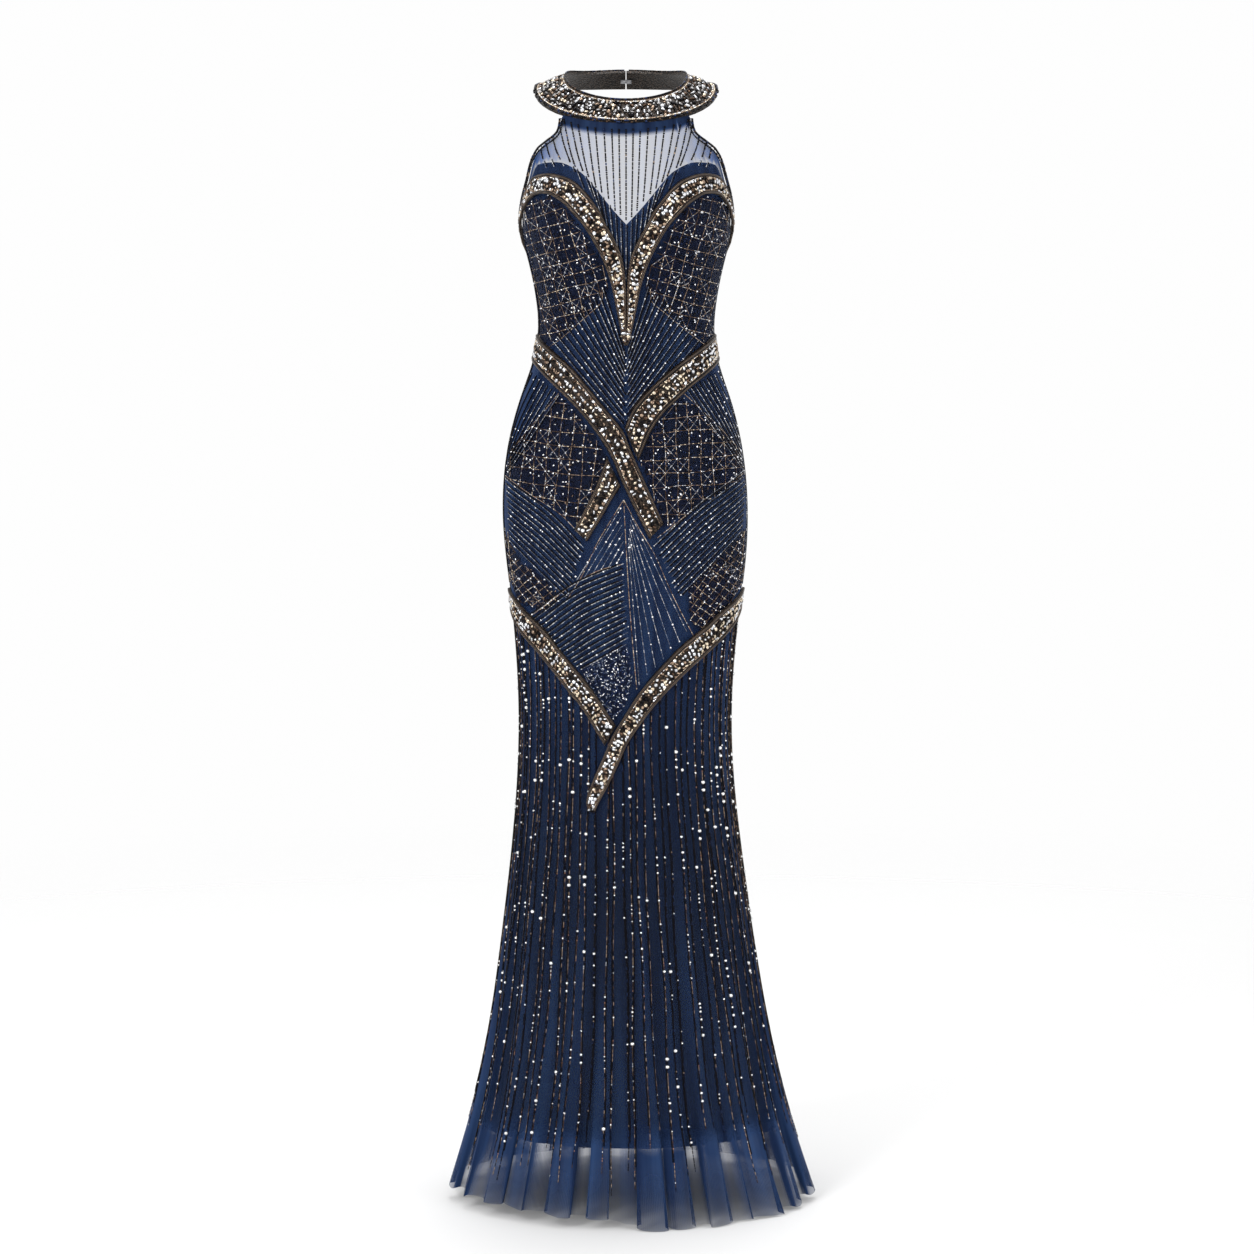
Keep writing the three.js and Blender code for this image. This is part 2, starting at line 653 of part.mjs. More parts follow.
function buildBackUpper(side) {
  return clothWall({
    angles: backAngles(side),
    steps: 22,
    upper: backUpperEdge,
    lower: (angle) => seamHeight(angle) + seamGap,
    surface: bodyPoint,
    wall: tulleWall,
  });
}

// The same columns with more between them, so that both edges of a seam keep one line.
function finerAngles(angles, widest) {
  return angles.flatMap((angle, index) => {
    if (index === 0) return [angle];
    const from = angles[index - 1];
    const parts = Math.ceil(Math.abs(angle - from) / widest);
    return evenAngles(from, angle, parts).slice(1);
  });
}

const skirtColumn = 3;
const skirtShare = (t) => t ** 1.25;

function buildSkirtFront() {
  return clothWall({
    angles: finerAngles(frontAngles, skirtColumn),
    steps: 9,
    upper: (angle) => seamHeight(angle) - seamGap,
    lower: hemHeight,
    surface: skirtPoint,
    wall: tulleWall,
    share: skirtShare,
  });
}

function buildSkirtBack(side) {
  const centre = backAngle - angleFor(seamGap, hipBackDepth);
  return clothWall({
    angles: [...finerAngles(backAngles(side), skirtColumn), side * centre],
    steps: 9,
    upper: (angle) => seamHeight(angle) - seamGap,
    lower: hemHeight,
    surface: skirtPoint,
    wall: tulleWall,
    share: skirtShare,
  });
}

// The lining is caught to the tulle at its upper edge and hangs a little free below.
function liningInset(drop) {
  const loosened = (liningGap.below - liningGap.atEdge) * easeIn(drop / liningGap.reach);
  return tulleWall + liningGap.atEdge + loosened;
}

const liningShare = (t) => t ** 1.5;

function buildLiningFront() {
  return clothWall({
    angles: liningAngles,
    steps: 20,
    upper: (angle) => straightBetween(sweetheartEdge, 'height', Math.abs(angle), 'angle'),
    lower: () => liningHemHeight,
    surface: bodyPoint,
    wall: liningWall,
    inset: liningInset,
    share: liningShare,
  });
}

function buildLiningBack(side) {
  return clothWall({
    angles: backAngles(side).filter((unused, index) => index % 2 === 0),
    steps: 20,
    upper: (angle) => backUpperEdge(angle) - liningEdgeDrop,
    lower: () => liningHemHeight,
    surface: bodyPoint,
    wall: liningWall,
    inset: liningInset,
    share: liningShare,
  });
}

// Rows of a plain band on the back, from the side seam to the zip.
function backRows(side, upperAt, lowerAt) {
  const from = sideAngle + sideSeamAngle;
  const to = backAngle - angleFor(zipHalfWidth + zipClearance, waistBackDepth);
  return evenAngles(from, to, backBandSteps).map((angle) => ({
    upperAngle: side * angle,
    upperHeight: upperAt(angle),
    lowerAngle: side * angle,
    lowerHeight: lowerAt(angle),
  }));
}

function backBandRows(side, band) {
  const along = (angle) => ((backAngle - angle) / (backAngle - sideAngle)) ** band.bend;
  return backRows(
    side,
    (angle) => band.centreUpper + (band.sideUpper - band.centreUpper) * along(angle),
    (angle) => band.centreLower + (band.sideLower - band.centreLower) * along(angle),
  );
}

function backBustRows(side) {
  const upper = (angle) => backUpperEdge(angle) - edgingWidth - edgingToBand;
  return backRows(side, upper, (angle) => upper(angle) - bustBandBackWidth);
}

// Edging along the armhole, from the collar under the arm and on to the zip.
function edgingRows(side) {
  const path = [];
  const edge = armholeEdge.slice(1);
  path.push({
    angle: armholeAngle - edgingStart.turn,
    height: collarEdgePoint(collarOuter, armholeAngle).z - yokeDrop - edgingStart.drop,
  });
  for (const corner of edge) path.push({ angle: corner.angle, height: corner.height });
  const zipEdge = backAngle - angleFor(zipHalfWidth + zipClearance, waistBackDepth);
  for (const angle of evenAngles(sideAngle, zipEdge, edgingBackSteps).slice(1)) {
    path.push({ angle, height: backUpperEdge(angle) });
  }
  return path.map((corner, index) => {
    const before = path[Math.max(0, index - 1)];
    const after = path[Math.min(path.length - 1, index + 1)];
    const here = bodyPoint(corner.angle, corner.height);
    const aside = bodyPoint(corner.angle + 1, corner.height).distanceTo(here);
    const run = (after.angle - before.angle) * aside;
    const drop = after.height - before.height;
    const length = Math.hypot(run, drop);
    const inward = { angle: (drop / length / aside) * edgingWidth, height: (-run / length) * edgingWidth };
    return {
      upperAngle: side * corner.angle,
      upperHeight: corner.height,
      lowerAngle: side * (corner.angle + inward.angle),
      lowerHeight: corner.height + inward.height,
    };
  });
}

// The closed zip between the two halves of the back, down to the hip seam.
function buildZip() {
  const rings = [];
  const top = backUpperEdge(backAngle) - zipTopDrop;
  const bottom = seamHeight(backAngle) + seamGap;
  for (let step = 0; step <= zipSteps; step += 1) {
    const height = top + ((bottom - top) * step) / zipSteps;
    const outer = movedOut(bodyPoint, backAngle, height, zipRise);
    const inner = movedOut(bodyPoint, backAngle, height, -tulleWall);
    rings.push([
      new THREE.Vector3(outer.x - zipHalfWidth, inner.y, height),
      new THREE.Vector3(outer.x - zipHalfWidth, outer.y, height),
      new THREE.Vector3(outer.x + zipHalfWidth, outer.y, height),
      new THREE.Vector3(outer.x + zipHalfWidth, inner.y, height),
    ]);
  }
  return loft(rings);
}

function piece(name, geometry, colour, roughness, metalness = 0) {
  const material = new THREE.MeshStandardMaterial({ color: colour, roughness, metalness });
  const mesh = new THREE.Mesh(geometry, material);
  mesh.name = name;
  return mesh;
}

const band = (name, rows, profile = bandProfile, surface = bodyPoint) => (
  piece(name, bandOn(surface, rows, profile), colours.band, 0.35, 0.5)
);
const edging = (name, rows) => (
  piece(name, bandOn(bodyPoint, rows, edgingProfile), colours.edging, 0.4, 0.3)
);
const tulle = (name, geometry) => piece(name, geometry, colours.tulle, 0.6);
const lining = (name, geometry) => piece(name, geometry, colours.lining, 0.45);

const gown = new THREE.Group();
gown.add(
  piece('collar', buildCollar(), colours.band, 0.35, 0.5),
  piece('collar_hook', buildCollarHook(), colours.metal, 0.3, 0.9),
  tulle('front_upper', buildFrontUpper()),
  tulle('skirt_front', buildSkirtFront()),
  lining('lining_front', buildLiningFront()),
  band('bust_band_left', mirrored(bustBandRows)),
  band('bust_band_right', bustBandRows),
  band('waist_band_over', waistOverRows),
  band('waist_band_under_upper', waistUnderUpperRows),
  band('waist_band_under_lower', waistUnderLowerRows),
  band('hip_band_over', hipOverRows, bandProfile, skirtPoint),
  band('hip_band_under', hipUnderRows, bandProfile, skirtPoint),
  piece('zip', buildZip(), colours.metal, 0.5),
);
for (const { side, word } of [{ side: -1, word: 'left' }, { side: 1, word: 'right' }]) {
  gown.add(
    tulle(`back_upper_${word}`, buildBackUpper(side)),
    tulle(`skirt_back_${word}`, buildSkirtBack(side)),
    lining(`lining_back_${word}`, buildLiningBack(side)),
    band(`back_bust_band_${word}`, backBustRows(side), plainBandProfile),
    edging(`armhole_edging_${word}`, edgingRows(side)),
  );
  for (const row of backBands) {
    gown.add(band(`back_${row.name}_band_${word}`, backBandRows(side, row), plainBandProfile));
  }
}
gown.position.z = -neckHeight;

export default gown;
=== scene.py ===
# %% [markdown]
# # A beaded evening gown
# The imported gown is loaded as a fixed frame. Its panels, lining and bands have their true shape
# already. This lesson gives them cloth, beads, stones and piping, one kind of work at a time.

import bpy
import bmesh
import math
import random
import numpy as np
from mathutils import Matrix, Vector
from mathutils.bvhtree import BVHTree


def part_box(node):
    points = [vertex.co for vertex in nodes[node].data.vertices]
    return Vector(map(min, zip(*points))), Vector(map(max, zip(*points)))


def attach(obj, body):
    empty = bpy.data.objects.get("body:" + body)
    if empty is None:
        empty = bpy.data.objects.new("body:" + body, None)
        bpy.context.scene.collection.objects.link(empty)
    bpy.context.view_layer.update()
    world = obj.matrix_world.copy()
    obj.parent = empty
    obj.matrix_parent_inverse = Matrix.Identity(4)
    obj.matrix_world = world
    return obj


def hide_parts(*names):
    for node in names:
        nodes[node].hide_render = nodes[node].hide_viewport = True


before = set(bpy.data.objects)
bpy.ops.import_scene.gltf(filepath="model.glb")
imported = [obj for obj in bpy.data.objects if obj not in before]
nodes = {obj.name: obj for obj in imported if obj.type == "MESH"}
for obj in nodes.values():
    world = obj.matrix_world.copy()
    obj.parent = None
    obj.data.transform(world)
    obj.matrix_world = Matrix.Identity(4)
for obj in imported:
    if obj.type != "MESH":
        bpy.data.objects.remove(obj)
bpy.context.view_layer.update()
NECK_HEIGHT = 1450.0
MM = 0.001
chance = random.Random(7)
print("nodes loaded:", len(nodes))

# %% [markdown]
# ## Helpers for materials
# Every material below is a small net of nodes. These helpers make an empty material, add a node,
# set its constant sockets and join the nodes, so the later cells only say how a thing should look.

# %% Helpers for materials
def new_material(name):
    """A material with nodes, its tree and its shader, ready for more nodes."""
    material = bpy.data.materials.new(name)
    material.use_nodes = True
    tree = material.node_tree
    return material, tree, tree.nodes["Principled BSDF"]


def set_values(node, values):
    """Sets constant sockets of a node."""
    for key, value in values.items():
        node.inputs[key].default_value = value


def add_node(tree, kind, inputs=None, **settings):
    """Adds a shader node, with its settings and the values of its sockets."""
    node = tree.nodes.new(kind)
    for key, value in settings.items():
        setattr(node, key, value)
    set_values(node, inputs or {})
    return node


def join(tree, *links):
    """Joins nodes. Each link names a node, its output, the next node and its input."""
    for source, output, target, socket in links:
        tree.links.new(source.outputs[output], target.inputs[socket])


print("materials before the work:", len(bpy.data.materials))

# %% [markdown]
# ## Floor
# The gown stands over a pale floor. A plane would show its far edge, so its finish fades away a
# few metres out, where it meets a background of the same tone.

# %% Floor
FLOOR_SIZE = 16.0
FLOOR_TONE = 0.79
FADE_FROM, FADE_TO = 0.9, 3.2
lowest = min(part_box(name)[0].z for name in nodes)
bpy.ops.object.select_all(action="DESELECT")
bpy.ops.mesh.primitive_plane_add(size=FLOOR_SIZE, location=(0, 0, lowest))
floor = bpy.context.object
floor.name = "floor"
floor_finish, tree, shader = new_material("pale_floor")
set_values(shader, {"Base Color": (FLOOR_TONE, FLOOR_TONE, FLOOR_TONE, 1), "Roughness": 0.7})
place = add_node(tree, "ShaderNodeTexCoord")
away = add_node(tree, "ShaderNodeVectorMath", operation="LENGTH")
fade = add_node(tree, "ShaderNodeMapRange",
                {"From Min": FADE_FROM, "From Max": FADE_TO, "To Min": 1, "To Max": 0})
join(tree, (place, "Object", away, 0), (away, "Value", fade, "Value"),
     (fade, "Result", shader, "Alpha"))
floor.data.materials.append(floor_finish)
print("floor at", round(lowest, 4))

# %% [markdown]
# ## Light
# A white world lights the gown evenly, as the pale walls of a studio do. Three square soft boxes
# give it form: a key at the left, a weak fill at the right and one above for the collar.

# %% Light
WORLD_STRENGTH = 0.99
MIDDLE = (0, 0, -0.6)
bpy.context.scene.view_settings.view_transform = "Standard"
world = bpy.data.worlds.new("studio")
world.use_nodes = True
set_values(world.node_tree.nodes["Background"],
           {"Color": (1.0, 1.0, 1.0, 1), "Strength": WORLD_STRENGTH})
bpy.context.scene.world = world


def softbox(name, place, size, power):
    """A square area light that faces the middle of the gown."""
    light = bpy.data.lights.new(name, "AREA")
    light.shape = "SQUARE"
    light.size = size
    light.energy = power
    lamp = bpy.data.objects.new(name, light)
    lamp.location = place
    lamp.rotation_euler = (Vector(MIDDLE) - Vector(place)).to_track_quat("-Z", "Y").to_euler()
    bpy.context.scene.collection.objects.link(lamp)
    print(name, "at", place)


softbox("key_light", (-2.2, -3.2, 1.6), 1.2, 90)
softbox("fill_light", (2.8, -2.6, 0.4), 1.6, 30)
softbox("top_light", (0.2, 0.8, 2.4), 1.2, 40)

# %% [markdown]
# ## Camera
# The camera stands where the photo was taken from. The ellipse of the hem and the rise of the
# collar tell its height and its tilt, and the long lens keeps the gown free of distortion.

# %% Camera
CAMERA_DISTANCE = 5.5
CAMERA_HEIGHT = 1.35
CAMERA_PITCH = 6.2
LENS = 121.4
PHOTO_WIDTH = 1254
lens = bpy.data.cameras.new("camera")
lens.sensor_width = 36
lens.lens = LENS
lens.shift_x = 1 / PHOTO_WIDTH
lens.clip_end = 60
camera = bpy.data.objects.new("camera", lens)
camera.location = (0, -CAMERA_DISTANCE, CAMERA_HEIGHT - NECK_HEIGHT * MM)
camera.rotation_euler = (math.radians(90 - CAMERA_PITCH), 0, 0)
bpy.context.scene.collection.objects.link(camera)
bpy.context.scene.camera = camera
print("camera", CAMERA_DISTANCE, "m in front of the gown")

# %% [markdown]
# ## The form of the gown
# Each row is one level of the gown: height above the floor, shift of the middle, half width,
# front depth and back depth, in millimetres. Beads are placed on the real cloth by a ray from
# outside, and this table says from where and in which direction to look.

# %% The form of the gown
BODY = np.array([
    (0, 7, 235, 199, 209), (41, 6.5, 221, 190, 200), (68, 6, 212, 183, 193),
    (122, 5.5, 198, 171, 179), (176, 5, 187, 160, 167), (230, 4.5, 178, 150, 156),
    (284, 4, 171, 142, 147), (337, 3, 165, 134, 138), (390, 2, 158.5, 126, 129),
    (444, 1, 152, 117, 119), (500, 0, 145, 111, 111), (577, -1, 139, 107.5, 107),
    (630, -1.5, 137, 106.5, 106.5), (683, -1, 139, 106.5, 109), (735, -0.5, 143, 107, 113),
    (788, 0, 148.5, 106, 119), (841, 0, 155, 104, 123), (893, -1, 158.5, 101, 123),
    (945, -1.5, 157, 98, 117), (997, -1.5, 150, 95, 106), (1049, -1, 136.5, 91, 93),
    (1075, -1, 127, 88.5, 87), (1101, -0.5, 118.5, 87, 82), (1127, 0, 113.5, 87.5, 80),
    (1153, 0.5, 112.5, 90, 79), (1179, 0.5, 115.5, 95, 81), (1205, 0.5, 120, 101, 85),
    (1231, 0.5, 126, 107, 89), (1257, 0.5, 133, 111, 93), (1283, 0.5, 135.5, 113, 96),
    (1308, 1, 132.5, 112, 98), (1334, 1, 128.5, 108, 100), (1360, 0.5, 126.5, 103, 101),
    (1405, 0, 120.5, 93, 98), (1447, 0, 117, 85.5, 92),
])


def section(height):
    """Middle, half width, front depth and back depth at a height."""
    return [float(np.interp(height, BODY[:, 0], BODY[:, column])) for column in (1, 2, 3, 4)]


def angle_of(across, depth, height):
    """The angle round the gown of a place, in degrees: 0 in front, 90 at the viewer's right."""
    middle, side, front, back = section(height)
    reach = front if depth < 0 else back
    return math.degrees(math.atan2((across - middle) / side, -depth / reach))


print("levels of the gown:", len(BODY))

# %% [markdown]
# ## Finding places on the cloth
# A bead needs a place on the cloth and the direction in which the cloth faces there. A ray that
# comes from outside gives both. Round the gown the ray starts from the table above; for the front
# it comes straight from the viewer, so the drawing of the front can be used as it is.

# %% Rays
RAY_START = 0.075
RAY_REACH = 0.135
FRONT_START = -0.5


def tree_of(objects):
    """The faces of several objects, ready to be met by a ray."""
    corners, faces = [], []
    for obj in objects:
        start = len(corners)
        corners += [vertex.co.copy() for vertex in obj.data.vertices]
        faces += [[start + index for index in face.vertices] for face in obj.data.polygons]
    return BVHTree.FromPolygons(corners, faces)


def round_place(tree, angle, height):
    """Place and normal on the outside of the gown, from an angle and a height."""
    middle, side, front, back = section(height)
    turn = math.radians(angle)
    depth = front if math.cos(turn) > 0 else back
    outward = Vector((math.sin(turn) / side, -math.cos(turn) / depth, 0)).normalized()
    base = Vector((
        (middle + side * math.sin(turn)) * MM,
        -depth * math.cos(turn) * MM,
        (height - NECK_HEIGHT) * MM,
    ))
    place, normal, _, _ = tree.ray_cast(base + outward * RAY_START, -outward, RAY_REACH)
    if place is None:
        return None
    return (place, normal if normal.dot(outward) > 0 else -normal)


def front_place(tree, across, height):
    """Place and normal on the front of the gown, straight behind a point of the drawing."""
    start = Vector((across * MM, FRONT_START, (height - NECK_HEIGHT) * MM))
    place, normal, _, _ = tree.ray_cast(start, Vector((0, 1, 0)), -FRONT_START)
    if place is None:
        return None
    return (place, normal if normal.y < 0 else -normal)


print("rays reach", RAY_REACH, "m")

# %% [markdown]
# ## Cloth
# The outer cloth is a fine net. Its panel in the frame is a wall one millimetre thick, and net
# is far thinner, so only the outer skin of the wall is kept and smoothed. The lining keeps its
# closed wall.

# %% Copies of the panels
OUTER_FACING = 0.25
SHARP_RIM = 1.0


def keep_skin(work):
    """Deletes the faces of a wall that don't look outward."""
    inner = []
    for face in work.faces:
        centre = face.calc_center_median()
        middle, side, front, back = section(centre.z / MM + NECK_HEIGHT)
        depth = front if centre.y < 0 else back
        outward = Vector(((centre.x / MM - middle) / side**2, centre.y / MM / depth**2, 0))
        if face.normal.dot(outward.normalized()) < OUTER_FACING:
            inner.append(face)
    bmesh.ops.delete(work, geom=inner, context="FACES")


def keep_rims(work):
    """Creases the sharp rims of a wall, so that smoothing leaves them sharp."""
    crease = work.edges.layers.float.new("crease_edge")
    for edge in work.edges:
        if edge.is_manifold and edge.calc_face_angle() > SHARP_RIM:
            edge[crease] = 1.0


def cloth_copy(name, source, levels, skin_only):
    """A smoothed copy of a panel of the frame, with quads instead of loose triangles."""
    mesh = nodes[source].data.copy()
    mesh.materials.clear()
    obj = bpy.data.objects.new(name, mesh)
    bpy.context.scene.collection.objects.link(obj)
    work = bmesh.new()
    work.from_mesh(mesh)
    bmesh.ops.remove_doubles(work, verts=work.verts, dist=1e-5)
    if skin_only:
        keep_skin(work)
    else:
        keep_rims(work)
    bmesh.ops.join_triangles(
        work, faces=work.faces, angle_face_threshold=0.7, angle_shape_threshold=0.9
    )
    work.to_mesh(mesh)
    work.free()
    smooth = obj.modifiers.new("smooth", "SUBSURF")
    smooth.levels = levels
    smooth.render_levels = levels
    smooth.boundary_smooth = "PRESERVE_CORNERS"
    bpy.ops.object.select_all(action="DESELECT")
    obj.select_set(True)
    bpy.context.view_layer.objects.active = obj
    bpy.ops.object.modifier_apply(modifier="smooth")
    bpy.ops.object.shade_smooth()
    return obj


OUTER_PANELS = [
    "front_upper", "skirt_front", "back_upper_left", "back_upper_right",
    "skirt_back_left", "skirt_back_right",
]
LININGS = ["lining_front", "lining_back_left", "lining_back_right"]
net = {name: cloth_copy(f"net_{name}", name, 2, True) for name in OUTER_PANELS}
lining = {name: cloth_copy(f"cloth_{name}", name, 1, False) for name in LININGS}
print("panels of net:", len(net), "panels of lining:", len(lining))

# %% [markdown]
# ## Flutes of the hem
# The folds of the skirt turn into soft tubes near the floor. Seen from above, such a fold has the
# outline of a keyhole: its top bulges sideways and its foot draws in. The list gives the middle
# of each fold and half its width, in degrees, and how far it turns into a tube.

# %% Flutes
FLUTES = [
    (-80, 9, 0.8), (-58, 11, 0.9), (-40.5, 10, 1.0), (-23.5, 9, 1.1), (-10.6, 6.5, 0.8),
    (6.3, 8, 1.2), (16.5, 6, 0.8), (28.5, 8, 1.0), (46, 12, 1.2), (64, 7, 0.5), (78, 9, 0.9),
    (93, 8.5, 0.8), (110, 9.5, 0.5), (126, 8, 1.0), (140, 7, 0.6), (153, 8.5, 1.1),
    (166, 6, 0.6),
    (-94, 8.5, 0.6), (-112, 10.5, 1.0), (-128, 7, 0.5), (-142, 8.5, 1.1), (-155, 6, 0.6),
    (-167, 6, 0.8),
]
FLUTE_TOP = 330
FLUTE_SWING = 8.5
FLUTE_RISE = 4.0
FLUTE_ONSET = 1.4


def flute(obj):
    """Turns the folds of a cloth into tubes towards the hem."""
    for vertex in obj.data.vertices:
        height = vertex.co.z / MM + NECK_HEIGHT
        strength = max(0.0, (FLUTE_TOP - height) / FLUTE_TOP) ** FLUTE_ONSET
        if strength == 0:
            continue
        angle = angle_of(vertex.co.x / MM, vertex.co.y / MM, height)
        away = Vector((vertex.co.x, vertex.co.y, 0)).normalized()
        along = Vector((-away.y, away.x, 0))
        for centre, spread, turned in FLUTES:
            share = (angle - centre) / spread
            if abs(share) < 1:
                swing = math.sin(2 * math.pi * share) * FLUTE_SWING * strength * turned
                rise = math.cos(math.pi * share / 2) ** 2 * FLUTE_RISE * strength * turned
                vertex.co += (along * swing + away * rise) * MM


print("folds of the hem:", len(FLUTES))

# %% [markdown]
# ## Seams
# Sewn edges overlap. Here the edges of the net are moved one millimetre over their neighbours at
# the sides and the centre back. Below the zip the halves of the back lining stand apart in the
# frame, so they are drawn together to the middle and lapped there too.

# %% Seams
SEAM_REACH = 1.2
SEAM_LAP = 1.0


def close_seams(obj):
    """Laps the edges of a cloth over its neighbours at the sides and the centre back."""
    middle = sum((vertex.co for vertex in obj.data.vertices), Vector()) / len(obj.data.vertices)
    whole_front = middle.y < 0
    for vertex in obj.data.vertices:
        height = vertex.co.z / MM + NECK_HEIGHT
        angle = angle_of(vertex.co.x / MM, vertex.co.y / MM, height)
        seam = 90 if whole_front or abs(angle) < 135 else 180
        if abs(abs(angle) - seam) > SEAM_REACH:
            continue
        toward = 1 if whole_front or seam == 180 else -1
        away = Vector((vertex.co.x, vertex.co.y, 0)).normalized()
        along = Vector((-away.y, away.x, 0)) * (1 if angle > 0 else -1)
        vertex.co += along * toward * SEAM_LAP * MM


LINING_GAP = 8.0
LINING_OPEN = 730


def close_lining(obj):
    """Laps the halves of the back lining below the zip."""
    for vertex in obj.data.vertices:
        height = vertex.co.z / MM + NECK_HEIGHT
        if height > LINING_OPEN or vertex.co.y < 0:
            continue
        middle = section(height)[0]
        across = vertex.co.x / MM - middle
        if abs(across) < LINING_GAP:
            vertex.co.x = (middle - math.copysign(SEAM_LAP, across)) * MM


for obj in [*net.values(), *lining.values()]:
    close_seams(obj)
    if obj.name.startswith("cloth_lining_back"):
        close_lining(obj)
    flute(obj)
    print(obj.name, len(obj.data.polygons), "faces")

# %% [markdown]
# ## Bead templates
# A gown like this carries tens of thousands of beads. Each kind is drawn once with few faces, a
# five-sided tube for a bugle and a six-sided cut stone for a crystal, and then repeated in one
# joined mesh. Every bead keeps a colour of its own in an attribute called tint, which also holds
# painted shade towards its foot.

# %% Bead templates
def tube_template(sides):
    """Corners and faces of a short tube along X, one unit long and wide."""
    turns = [2 * math.pi * index / sides for index in range(sides)]
    corners = [(end, 0.5 * math.cos(turn), 0.5 * math.sin(turn))
               for end in (-0.5, 0.5) for turn in turns]
    faces = [(i, (i + 1) % sides, sides + (i + 1) % sides, sides + i) for i in range(sides)]
    faces += [tuple(reversed(range(sides))), tuple(range(sides, 2 * sides))]
    return np.array(corners), faces


def stone_template(sides, table):
    """Corners and faces of a cut stone, one unit wide and high, with a flat table on top."""
    turns = [2 * math.pi * index / sides for index in range(sides)]
    corners = []
    for level, radius in ((-0.5, 0.42), (-0.1, 0.5), (0.5, table)):
        corners += [(radius * math.cos(turn), radius * math.sin(turn), level) for turn in turns]
    faces = [tuple(reversed(range(sides))), tuple(range(2 * sides, 3 * sides))]
    for ring in (0, sides):
        faces += [(ring + i, ring + (i + 1) % sides,
                   ring + sides + (i + 1) % sides, ring + sides + i) for i in range(sides)]
    return np.array(corners), faces


BUGLE = tube_template(5)
SLIM = tube_template(4)
STONE = stone_template(6, 0.24)
print("corners of a bugle:", len(BUGLE[0]), "of a stone:", len(STONE[0]))

# %% [markdown]
# ## A bag of beads
# Beads are collected in a bag first and made as one mesh at the end, which is far quicker than one
# object a bead. The foot of each bead is painted darker than its top in its tint, as painted shade
# where no light gets between beads.

# %% Bag of beads
PAINTED_FOOT_SHADE = 0.12


class Bag:
    """Beads that wait to be made as one mesh."""

    def __init__(self, template):
        self.template = template
        self.starts, self.ends, self.normals, self.sizes, self.tints = [], [], [], [], []

    def add(self, starts, ends, normals, widths, heights, tints):
        """Adds several beads, each from a start to an end on the cloth."""
        self.starts.append(np.asarray(starts, float).reshape(-1, 3))
        self.ends.append(np.asarray(ends, float).reshape(-1, 3))
        self.normals.append(np.asarray(normals, float).reshape(-1, 3))
        self.sizes.append(np.column_stack([widths, heights]))
        self.tints.append(np.asarray(tints, float).reshape(-1, 3))

    def add_one(self, spot, turn, length, width, height, tint):
        """Adds one bead at a place on the cloth, turned about the cloth's normal."""
        place, normal = spot
        side = normal.cross(Vector((0, 0, 1)))
        side = side.normalized() if side.length > 0.05 else Vector((1, 0, 0))
        up = normal.cross(side)
        along = side * math.cos(turn) + up * math.sin(turn)
        half = along * length * MM / 2
        self.add([place - half], [place + half], [normal], [width * MM], [height * MM], [tint])

    def make(self, name, finish, slot):
        """Makes the mesh of all beads in the bag."""
        corners, faces = self.template
        starts, ends = np.vstack(self.starts), np.vstack(self.ends)
        normals, sizes = np.vstack(self.normals), np.vstack(self.sizes)
        tints = np.vstack(self.tints)
        along = ends - starts
        length = np.linalg.norm(along, axis=1, keepdims=True)
        unit = along / length
        up = normals - unit * np.sum(normals * unit, axis=1, keepdims=True)
        up /= np.linalg.norm(up, axis=1, keepdims=True)
        side = np.cross(up, unit)
        width, height = sizes[:, :1], sizes[:, 1:]
        centre = (starts + ends) / 2 + up * height * 0.5
        places = (
            centre[:, None, :]
            + corners[None, :, :1] * (unit * length)[:, None, :]
            + corners[None, :, 1:2] * (side * width)[:, None, :]
            + corners[None, :, 2:] * (up * height)[:, None, :]
        ).reshape(-1, 3)
        count, per_bead = len(starts), len(corners)
        counts = np.array([len(face) for face in faces])
        pattern = np.array([index for face in faces for index in face])
        loops = (pattern[None, :] + per_bead * np.arange(count)[:, None]).ravel()
        totals = np.tile(counts, count)
        begins = np.concatenate([[0], np.cumsum(totals)[:-1]])
        mesh = bpy.data.meshes.new(name)
        mesh.vertices.add(len(places))
        mesh.vertices.foreach_set("co", places.ravel())
        mesh.loops.add(len(loops))
        mesh.loops.foreach_set("vertex_index", loops)
        mesh.polygons.add(len(totals))
        mesh.polygons.foreach_set("loop_start", begins)
        mesh.polygons.foreach_set("loop_total", totals)
        mesh.update()
        mesh.validate()
        colours = np.ones((len(places), 4))
        # painted shade: each bead's tint fades from its top to a dark foot
        depth = PAINTED_FOOT_SHADE + (1 - PAINTED_FOOT_SHADE) * (corners[:, 2] + 0.5)
        colours[:, :3] = np.repeat(tints, per_bead, axis=0) * np.tile(depth, count)[:, None]
        layer = mesh.attributes.new("tint", "FLOAT_COLOR", "POINT")
        layer.data.foreach_set("color", colours.ravel())
        mesh.materials.append(finish)
        obj = bpy.data.objects.new(name, mesh)
        bpy.context.scene.collection.objects.link(obj)
        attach(obj, "root")
        triangles = int((counts - 2).sum()) * count
        print(name, count, "beads", triangles, "triangles")
        return obj


print("a bead's foot has", PAINTED_FOOT_SHADE, "of its tint")

# %% [markdown]
# ## Tints and mixes
# A string is a mix of a few beads. Each row of a mix gives a length, a width, a tint and a share,
# and the number before the mix is the gap between two beads, all in millimetres.

